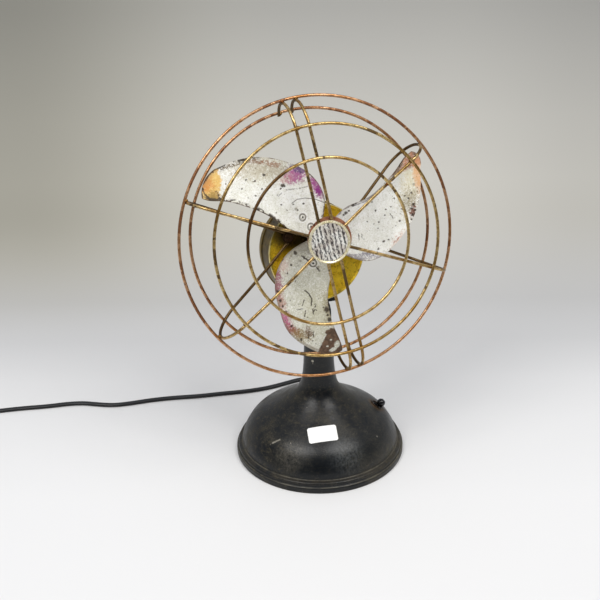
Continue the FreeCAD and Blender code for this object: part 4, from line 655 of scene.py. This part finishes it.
    # edges: paint gone in a broken line, brown steel showing
    e = m.add(edge, m.mul(m.sub(mid, 0.5), 6.0))
    e = m.add(e, m.mul(m.sub(fine, 0.5), 5.0))
    near = m.step(e, 1.3, 0.3)
    col = m.mix(m.mul(m.step(e, 4.5, 0.0), 0.25), col, "#9c8f74")
    col = m.mix(m.mul(near, 0.35 + edge_amount), col, m.mix(fine, "#221a12", "#6b4a30"))
    steel = near
    if node == "blade_3":
        patch = m.mul(m.side(uvf, (-3.6, -104.5), (0.905, -0.425), 0.6), m.side(uvf, (2.2, -94.5), (-0.25, -1.0), 0.8))
        patch = m.top(patch, m.blob(uvf, (0.0, -99.0), (3.4, 3.0), 0, 0.2))
        keep = m.top(m.blob(uvf, (8.6, -114.0), (2.9, 4.6), -12, 0.18), m.blob(uvf, (5.0, -119.4), (4.0, 2.2), 20, 0.2),
                     m.blob(uvf, (-1.1, -115.1), (1.1, 0.8), 0, 0.4), m.blob(uvf, (2.4, -108.2), (0.9, 0.9), 0, 0.4))
        patch = m.mul(patch, m.sub(1.0, keep))
        pc = m.mix(m.step(m.add(m.mul(mid, 0.5), m.mul(speck, 0.5)), 0.42, 0.58), "#4a3626", "#755942")
        col = m.mix(patch, col, pc)
        steel = m.top(steel, patch)
    dp = pit
    col = m.mix(m.mul(dp, 0.94), col, m.mix(fine, "#1a1610", "#4a3a26"))
    steel = m.top(steel, dp)
    m.set(Base_Color=col, Roughness=m.add(m.add(0.40, m.mul(mid, 0.20)), m.mul(steel, 0.18)))
    m.bump(m.noise(30.0, 2, 0.5), 0.0008, 0.35)
    m.bump(m.add(m.mul(mid, 0.6), m.mul(fine, 0.4)), 0.0006, 0.5)
    m.bump(m.top(near, m.mul(pits, 0.8), m.mul(flakes, 0.6)), 0.00018, -0.9)
    return m


def plastic(name, dark, light, rough=0.42, scale=1.0):
    m = Mat(name, IOR=1.47)
    a = m.noise(60.0 * scale, 4, 0.6)
    b = m.noise(420.0 * scale, 4, 0.6)
    c = m.noise(1800.0 * scale, 2, 0.5)
    col = m.mix(m.step(m.add(m.mul(a, 0.6), m.mul(b, 0.4)), 0.38, 0.64), dark, light)
    m.set(Base_Color=col, Roughness=m.add(rough, m.mul(m.sub(b, 0.5), 0.30)))
    m.bump(m.add(m.mul(b, 0.5), m.mul(c, 0.5)), 0.0001, 0.35)
    return m


def label_paper():
    m = Mat("label_paper", IOR=1.45)
    a = m.noise(900.0, 4, 0.6)
    b = m.noise(60.0, 3, 0.6)
    col = m.mix(m.step(b, 0.4, 0.7), "#fbfbf9", "#f4f3ee")
    col = m.mix(m.mul(m.step(a, 0.60, 0.74), 0.15), col, "#dedacd")
    m.set(Base_Color=col, Roughness=m.add(0.5, m.mul(a, 0.2)))
    m.bump(a, 0.00006, 0.4)
    return m


def rivet_paint():
    """Painted rivet heads: white shoulders round a dark worn crown."""
    m = Mat("rivet_steel", IOR=1.5)
    uv = m.plane()
    fine = m.noise(700.0, 3, 0.6)
    col = m.mix(m.step(fine, 0.42, 0.62), "#f0efe8", "#cfccbe")
    for node in BLADES:
        turn = math.radians(BLADES[node]["root"])
        for r in (14.2, 27.4):
            q = m.add(m.vec("DISTANCE", uv, (r * math.cos(turn), r * math.sin(turn), 0.0)), m.mul(m.sub(fine, 0.5), 0.7))
            col = m.mix(m.mul(m.step(q, 1.35, 0.85), 0.95), col, "#1f1a14")
            col = m.mix(m.mul(m.mul(m.step(q, 2.35, 2.75), m.step(q, 3.6, 3.3)), 0.9), col, "#3a3226")
    m.set(Base_Color=col, Roughness=m.add(0.38, m.mul(fine, 0.2)))
    m.bump(fine, 0.0001, 0.5)
    return m


def badge_plate():
    """Worn bright plate whose flutes run up and down, dark in their bottoms."""
    m = Mat("badge_plate", Metallic=0.35)
    uv = m.plane()
    t = m.place(uv, (-0.9, 0, 0), math.radians(8))
    x, y, _ = m.split(t)
    wav = m.noise(1.0, 3, 0.6, vec=m.place(uv, turn=math.radians(8), size=(4.0, 14.0, 1)))
    ph = m.add(m.mul(x, 2 * math.pi / 4.4), m.mul(m.sub(wav, 0.5), 5.2))
    groove = m.step(m.math("COSINE", ph), 0.45, -0.35)
    brk = m.noise(1.0, 3, 0.65, vec=m.place(uv, turn=math.radians(8), size=(1.7, 3.4, 1)))
    dark = m.mul(groove, m.step(brk, 0.44, 0.51))
    dark = m.top(dark, m.step(brk, 0.570, 0.610))
    fine = m.noise(900.0, 3, 0.6)
    big = m.noise(90.0, 3, 0.6)
    col = m.mix(m.step(big, 0.40, 0.62), "#f3f1ea", "#cfc8bd")
    col = m.mix(m.mul(m.step(m.noise(300.0, 3, 0.6), 0.56, 0.66), 0.6), col, "#8e7f86")
    col = m.mix(m.mul(dark, 0.94), col, m.mix(m.step(big, 0.45, 0.60), "#12141b", "#33262a"))
    m.set(Base_Color=col, Roughness=m.add(0.26, m.mul(fine, 0.22)))
    m.bump(m.add(m.mul(fine, 0.4), m.mul(m.sub(1.0, dark), 0.6)), 0.00025, 0.5)
    return m


ENAMEL = enamel()
GILT = gilt("gilt_housing", False)
COVER_BACK = gilt("black_cover", True)
COPPER_WIRE = wire("guard_copper", "#3a2415", "#a26f42", "#e2b48a", "#8a5634", 0.42, speck=0.30)
OLD_WIRE = wire("guard_brass", "#241a0e", "#8c6a34", "#dcc084", "#5a3d1e", 0.30, speck=0.75)
INNER_WIRE = wire("guard_brass_inner", "#24190e", "#8f6c36", "#dec286", "#4a2c19", 0.10, speck=0.6, dark_patches=(((-62, 38), (44, 62), 25),))
# the dark patch left of the badge is painted shadow, where blade A shades the wires
LONG_WIRE = wire("guard_brass_long", "#20170d", "#8a6836", "#d8bc84", "#4f371d", 0.32, speck=0.8, dark_patches=(((-26, 4), (30, 14), 0),), shaded_behind=26.0)
STEEL = metal("plain_steel", "#55524c", "#a8a49a", amount=0.4)
NICKEL = metal("nickel_brass", "#8f8568", "#d6cfb6", rust="#57462a", amount=0.25)
# painted shade: the guard screws and washers are made near-black brown, as they sit in shadow by the housing, with some
# rust
SHADED_SCREW = metal("guard_screw_steel", "#1d130b", "#5b4022", rust="#2a1a0e", amount=0.5, metallic=0.8)
COLLAR = metal("switch_collar_steel", "#120e0a", "#3f3222", rust="#4a3220", amount=0.5, metallic=0.6)
COPPER = metal("copper", "#7a3c20", "#c0713f", rust="#3c1d10", amount=0.2)
CAGE = metal("aluminium_cage", "#8c8e90", "#c9cbcd", rust="#5b5a55", amount=0.15)
BRONZE = metal("bearing_bronze", "#6e4a22", "#b58a4a", rust="#3a2713", amount=0.3)
RUSTY = metal("rusty_disc", "#4c2c1c", "#8a5b42", rust="#b07a5c", amount=0.55, metallic=0.35, rough=(0.5, 0.75))
RIM = metal("badge_metal", "#d0c496", "#fbf6e2", rust="#7d6a3c", amount=0.22, metallic=0.55, rough=(0.20, 0.36), scale=1.5)
BLACK = plastic("black_plastic", "#0c0c0d", "#1d1c1b")
RUBBER = plastic("flex_rubber", "#050607", "#101114", rough=0.36, scale=0.8)
BLACK_COVER = plastic("black_lug", "#0c0d0f", "#1f1d19", rough=0.38, scale=0.5)
KNOB = plastic("black_knob", "#060607", "#121214", rough=0.16)
PAPER = label_paper()
PLATE = badge_plate()

dress(ENAMEL, "base_casting")
dress(GILT, "motor_front_housing")
dress(COVER_BACK, "motor_rear_cover")
dress(BLACK_COVER, "tilt_lug")
dress(COPPER_WIRE, "guard_rim_ring", "guard_rear_ring")
dress(OLD_WIRE, "guard_outer_ring")
dress(INNER_WIRE, "guard_inner_ring")
dress(LONG_WIRE, "guard_left_wire", "guard_right_wire", "guard_long_wire_1", "guard_long_wire_2")
for b in BLADES:
    dress(paint(b), b)
dress(rivet_paint(), "blade_rivets")
dress(SHADED_SCREW, "guard_screws", "guard_screw_washers")
dress(STEEL, "base_plate", "base_plate_screws", "blade_spider", "hub_nut", "hub_set_screw",
      "motor_shaft", "rear_cover_screws", "stator_bolts", "stator_stack", "rotor_core", "front_bearing_bracket", "rear_bearing_bracket",
      "thrust_washers", "tilt_bolt", "tilt_lug_screws", "tilt_washer", "badge_stud")
dress(NICKEL, "tilt_nut", "plug_pins", "terminal_screws")
dress(KNOB, "switch_lever")
dress(COLLAR, "switch_collar")
dress(COPPER, "field_coil", "shading_bars", "motor_leads")
dress(CAGE, "rotor_bars")
dress(BRONZE, "front_bearing", "rear_bearing")
dress(BLACK, "switch_body", "terminal_block", "coil_bobbin", "plug_body")
dress(RUBBER, "cord_sleeve")
dress(RUSTY, "badge_back_disc")
dress(RIM, "badge")
dress(PAPER, "blank_label")


# ------------------------------------------------------------------ mesh helpers
def mesh_object(name, verts, faces, mat, body, smooth=True):
    me = bpy.data.meshes.new(name)
    me.from_pydata([tuple(v) for v in verts], [], faces)
    me.validate()
    if smooth:
        me.polygons.foreach_set("use_smooth", [True] * len(me.polygons))
    me.materials.append(mat.m if isinstance(mat, Mat) else mat)
    o = bpy.data.objects.new(name, me)
    SCENE.collection.objects.link(o)
    bm = bmesh.new()
    bm.from_mesh(me)
    bmesh.ops.recalc_face_normals(bm, faces=bm.faces)
    bm.to_mesh(me)
    bm.free()
    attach(o, body)
    return o


# ------------------------------------------------------------------ supply cord
ROUTE = [(49.6, 93.2, 11.0), (54.0, 101.5, 8.5), (56.3, 111.5, 6.1), (54.9, 121.8, 4.1), (49.4, 130.9, 2.6), (40.6, 137.6, 2.0),
         (29.4, 141.0, 1.95), (17.5, 141.3, 1.95), (5.0, 139.2, 1.95), (-11.0, 136.2, 1.95), (-30.0, 134.4, 1.95), (-53.0, 135.6, 1.95), (-79.0, 139.6, 1.95),
         (-107.0, 142.6, 1.95), (-135.0, 148.4, 1.95), (-162.0, 151.9, 1.95), (-187.0, 152.4, 1.95), (-207.0, 154.2, 1.95),
         (-225.0, 162.2, 1.95), (-242.0, 171.4, 1.95), (-261.0, 175.4, 1.95), (-284.0, 177.2, 1.95), (-311.0, 182.2, 1.95),
         (-338.0, 185.2, 1.95), (-362.0, 187.0, 1.98), (-383.0, 185.6, 2.35)]
COIL_C, LANES, LAYERS = (-402.0, 152.0), (38.6, 32.5, 26.4), (2.45, 6.20, 9.95)


def blend_to(a, b, k):
    k = min(max(k, 0.0), 1.0)
    return a + (b - a) * (3 * k * k - 2 * k * k * k)


def coil_points():
    pts, phi = [], 76.0
    while phi <= 2340.0:
        if phi < 781:
            r = blend_to(LANES[0], LANES[1], (phi - 340) / 81.0) if phi < 600 else blend_to(LANES[1], LANES[2], (phi - 700) / 81.0)
        elif phi < 1450:
            r = blend_to(LANES[2], LANES[1], (phi - 1280) / 70.0)
        else:
            r = blend_to(LANES[1], LANES[0], (phi - 1640) / 70.0)
        z = LAYERS[0]
        if phi > 985:
            z = blend_to(LAYERS[0], LAYERS[1], (phi - 990) / 70.0)
        if phi > 1990:
            z = blend_to(LAYERS[1], LAYERS[2], (phi - 1995) / 70.0)
        r += 0.25 * math.sin(phi * 0.037) - 0.1
        a = math.radians(phi)
        pts.append((COIL_C[0] + r * math.cos(a), COIL_C[1] + r * math.sin(a), z))
        phi += 24.0
    return pts


TAIL = [(-441.4, 139.0, 9.2), (-442.4, 127.0, 5.6), (-441.0, 114.0, 3.0), (-437.5, 102.0, 3.9), (-435.2, 92.5, 7.0), (-433.8, 85.5, 9.0)]
CORD_W, CORD_T = 0.0060, 0.0037


def make_cord():
    prof = bpy.data.curves.new("flex_section", "CURVE")
    prof.dimensions = "2D"
    sp = prof.splines.new("POLY")
    pts = []
    r, gap = CORD_T / 2, (CORD_W - CORD_T) / 2
    for s in (1, -1):
        for k in range(11):
            a = math.radians(-102 + 20.4 * k)
            x, y = s * (gap + r * math.cos(a)), r * math.sin(a) * (1 if s > 0 else -1)
            if abs(x) < 0.00022:
                continue
            pts.append((x, y, 0.0, 1.0))
    sp.points.add(len(pts) - 1)
    for p, q in zip(sp.points, pts):
        p.co = q
    sp.use_cyclic_u = True
    sec = bpy.data.objects.new("flex_section", prof)
    SCENE.collection.objects.link(sec)
    sec.hide_render = sec.hide_viewport = True
    cu = bpy.data.curves.new("supply_flex", "CURVE")
    cu.dimensions = "3D"
    cu.twist_mode = "Z_UP"
    cu.resolution_u = 6
    s = cu.splines.new("NURBS")
    line = ROUTE + coil_points() + TAIL
    s.points.add(len(line) - 1)
    for p, q in zip(s.points, line):
        p.co = (q[0] / 1000.0, q[1] / 1000.0, q[2] / 1000.0, 1.0)
    s.order_u = 3
    s.use_endpoint_u = True
    cu.bevel_mode = "OBJECT"
    cu.bevel_object = sec
    cu.use_fill_caps = True
    cu.materials.append(RUBBER.m)
    o = bpy.data.objects.new("supply_flex", cu)
    SCENE.collection.objects.link(o)
    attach(o, "base")
    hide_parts("supply_cord", "supply_cord_coil", "supply_cord_tail")
    return o


FLEX = make_cord()


def cord_tie():
    """A narrow plastic tie round the coil."""
    a = math.radians(128.0)
    er, et = Vector((math.cos(a), math.sin(a), 0)), Vector((-math.sin(a), math.cos(a), 0))
    c = mm(COIL_C[0], COIL_C[1], 0)
    r0, r1, z0, z1 = 22.7, 42.4, 0.08, 12.5
    ring = []
    rr = 2.2
    for cx, cz, a0 in ((r1 - rr, z1 - rr, 0), (r0 + rr, z1 - rr, 90), (r0 + rr, z0 + rr, 180), (r1 - rr, z0 + rr, 270)):
        for k in range(7):
            t = math.radians(a0 + 15 * k)
            ring.append((cx, cz, math.cos(t), math.sin(t), rr))
    verts, faces, n = [], [], len(ring)
    for cx, cz, ct, st, q in ring:
        for off, w in ((0.0, -1.25), (0.0, 1.25), (-0.42, 1.25), (-0.42, -1.25)):
            verts.append(c + er * ((cx + (q + off) * ct) / 1000.0) + Vector((0, 0, 1)) * ((cz + (q + off) * st) / 1000.0) + et * (w / 1000.0))
    for i in range(n):
        j = (i + 1) % n
        for k in range(4):
            l = (k + 1) % 4
            faces.append((4 * i + k, 4 * i + l, 4 * j + l, 4 * j + k))
    o = mesh_object("flex_tie", verts, faces, BLACK, "base", smooth=False)
    return o


TIE = cord_tie()


# ------------------------------------------------------------------ badge face
def badge_face():
    """Fluted disc in the badge's recess."""
    rings, segs = 56, 150
    radius, cu, cv = 18.9, -0.9, 0.0
    verts, faces = [], []
    tilt = math.radians(8)

    def high(x, y):
        s = x * math.cos(tilt) + y * math.sin(tilt)
        t = -x * math.sin(tilt) + y * math.cos(tilt)
        w = noise.noise(Vector((s / 4.0, t / 14.0, 3.1))) * 1.7
        g = math.cos(s * 2 * math.pi / 4.4 + w)
        n = noise.noise(Vector((x / 2.2, y / 4.0, 7.7)))
        return 57.22 + 0.20 * g + 0.14 * n
    verts.append(head(cu, cv, high(0, 0)))
    for i in range(1, rings + 1):
        r = radius * i / rings
        drop = 0.0 if i < rings else -0.55
        for k in range(segs):
            a = 2 * math.pi * k / segs
            x, y = r * math.cos(a), r * math.sin(a)
            verts.append(head(cu + x, cv + y, high(x, y) + drop))
    for k in range(segs):
        faces.append((0, 1 + k, 1 + (k + 1) % segs))
    for i in range(1, rings):
        for k in range(segs):
            a, b = 1 + (i - 1) * segs, 1 + i * segs
            j = (k + 1) % segs
            faces.append((a + k, b + k, b + j, a + j))
    back = len(verts)
    for k in range(segs):
        a = 2 * math.pi * k / segs
        verts.append(head(cu + radius * math.cos(a), cv + radius * math.sin(a), 56.55))
    last = 1 + (rings - 1) * segs
    for k in range(segs):
        j = (k + 1) % segs
        faces.append((last + k, back + k, back + j, last + j))
    faces.append(tuple(back + k for k in range(segs))[::-1])
    return mesh_object("badge_fluted_face", verts, faces, PLATE, "head")


badge_face()

# ------------------------------------------------------------------ welds where guard wires cross the rings
WELDS = [(-134.6, -6.5, 315.3), (-116.9, -42.3, 180.5), (-122.3, 16.1, 299.9), (-104.8, -14.8, 183.7), (-95.6, -66.6, 203.4),
         (12.7, -56.7, 127.6), (-29.3, 15.2, 397.3), (11.8, -27.1, 136.8), (-25.8, 37.0, 378.0), (-24.0, -19.3, 380.7),
         (2.7, -72.5, 191.9), (-21.7, -30.6, 349.3), (26.6, -56.1, 130.0), (-15.4, 15.7, 398.9), (24.6, -26.5, 138.7),
         (-13.0, 37.9, 379.0), (22.2, -77.8, 162.3), (-12.1, -19.4, 382.3), (15.1, -71.9, 193.5), (-7.2, -29.9, 351.2),
         (113.3, -7.8, 210.8), (100.8, 23.5, 326.7), (88.4, -30.8, 337.9), (61.1, -39.0, 319.4)]


def welds():
    bm = bmesh.new()
    rnd = random.Random(11)
    for i, p in enumerate(WELDS):
        m = Matrix.Translation(mm(*p))
        made = bmesh.ops.create_icosphere(bm, subdivisions=3, radius=1.0, matrix=Matrix.Identity(4))
        s = 0.00175 + 0.0004 * rnd.random()
        for v in made["verts"]:
            d = v.co.normalized()
            k = 1 + 0.22 * noise.noise(d * 1.7 + Vector((i * 3.3, 0, 0))) + 0.08 * noise.noise(d * 5 + Vector((0, i, 0)))
            v.co = m @ (d * s * k)
    me = bpy.data.meshes.new("guard_welds")
    bm.to_mesh(me)
    bm.free()
    me.polygons.foreach_set("use_smooth", [True] * len(me.polygons))
    me.materials.append(WELD_MAT.m)
    o = bpy.data.objects.new("guard_welds", me)
    SCENE.collection.objects.link(o)
    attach(o, "head")
    return o


WELD_MAT = wire("guard_weld", "#2b1a0d", "#6f4a20", "#a67c3c", "#7b3f1a", 0.55, speck=0.8)
welds()


# ------------------------------------------------------------------ floor, light, world
def floor():
    me = bpy.data.meshes.new("studio_floor")
    s = 9.0
    me.from_pydata([(-s, -s, 0), (s, -s, 0), (s, s, 0), (-s, s, 0)], [], [(0, 1, 2, 3)])
    o = bpy.data.objects.new("studio_floor", me)
    SCENE.collection.objects.link(o)
    m = Mat("studio_floor", Roughness=0.6)
    m.b.inputs["Specular IOR Level"].default_value = 0.25
    ahead = studio(0, 1, 0)
    across = studio(1, 0, 0)
    t = m.vec("DOT_PRODUCT", m.c, tuple(ahead))
    x = m.vec("DOT_PRODUCT", m.c, tuple(across))
    # position along the floor, from 0.3 m in front to 2.2 m behind; the ramp paints light and shade into the floor's
    # colour, darkest about 0.36 m behind
    k = m.step(t, -0.3, 2.2, smooth=False)
    col = m.ramp(k, FLOOR_LIGHT_STOPS)
    # the light falls off towards the far left and, a little, to the far right
    q = m.math("DIVIDE", x, m.add(t, 1.15))
    far = m.step(t, 0.22, 0.70)
    dim = m.mul(m.sub(1.0, m.mul(m.mul(m.step(q, -0.05, -0.26), far), 0.38)), m.sub(1.0, m.mul(m.mul(m.step(q, 0.10, 0.25), far), 0.14)))
    warm = m.mix(far, (1.0, 1.0, 1.0), (1.0, 0.970, 0.875))
    warm = m.mix(m.mul(far, m.step(q, 0.02, -0.26)), warm, (1.0, 0.958, 0.80))
    col = m.mix(1.0, col, warm, "MULTIPLY")
    col = m.mix(1.0, col, m.join(dim, dim, dim), "MULTIPLY")
    m.set(Base_Color=col)
    me.materials.append(m.m)
    return o


def stop(y, v):
    return ((y + 0.3) / 2.5, (v, v, v))


# painted light and shade on the floor, by distance behind the fan
FLOOR_LIGHT_STOPS = [stop(-0.244, 0.752), stop(-0.10, 0.77), stop(0.05, 0.742), stop(0.143, 0.705), stop(0.245, 0.588), stop(0.36, 0.545),
               stop(0.565, 0.633), stop(0.82, 0.719), stop(1.15, 0.743), stop(1.58, 0.723), stop(2.07, 0.674)]
floor()


def area(name, at, to, size, watts, colour=(1, 1, 1)):
    d = bpy.data.lights.new(name, "AREA")
    d.shape, d.size, d.size_y, d.energy, d.color = "RECTANGLE", size[0], size[1], watts, colour
    o = bpy.data.objects.new(name, d)
    SCENE.collection.objects.link(o)
    o.location = at
    o.rotation_euler = (to - at).to_track_quat("-Z", "Y").to_euler()
    return o


area("softbox_left", studio(-0.72, -0.80, 1.62), Vector((0, 0, 0.2)), (0.72, 0.72), 16.0, (1.0, 0.985, 0.96))
area("softbox_right", studio(0.78, -0.68, 1.66), Vector((0, 0, 0.2)), (0.72, 0.72), 16.0, (1.0, 0.985, 0.96))


def room():
    """Pale walls behind and above, a darker room behind the camera."""
    w = bpy.data.worlds.new("studio")
    SCENE.world = w
    w.use_nodes = True
    m = Mat.__new__(Mat)
    m.t = w.node_tree
    m.t.nodes.clear()
    out = m.t.nodes.new("ShaderNodeOutputWorld")
    bg = m.t.nodes.new("ShaderNodeBackground")
    m.t.links.new(bg.outputs[0], out.inputs[0])
    way = m.t.nodes.new("ShaderNodeTexCoord").outputs["Generated"]
    z = m.split(way)[2]
    lift = m.ramp(z, [(0.0, 0.50), (0.30, 0.42), (0.60, 0.50), (1.0, 0.80)])
    fwd = m.step(m.vec("DOT_PRODUCT", way, tuple(studio(0, 1, 0))), -0.9, 0.4, 0.22, 1.0)
    k = m.mixf(m.step(z, 0.40, 0.92), fwd, 1.0)
    m.put(bg.inputs[0], m.mix(m.mul(lift, k), (0.0, 0.0, 0.0), (0.96, 0.98, 1.03)))
    bg.inputs[1].default_value = 1.0


room()
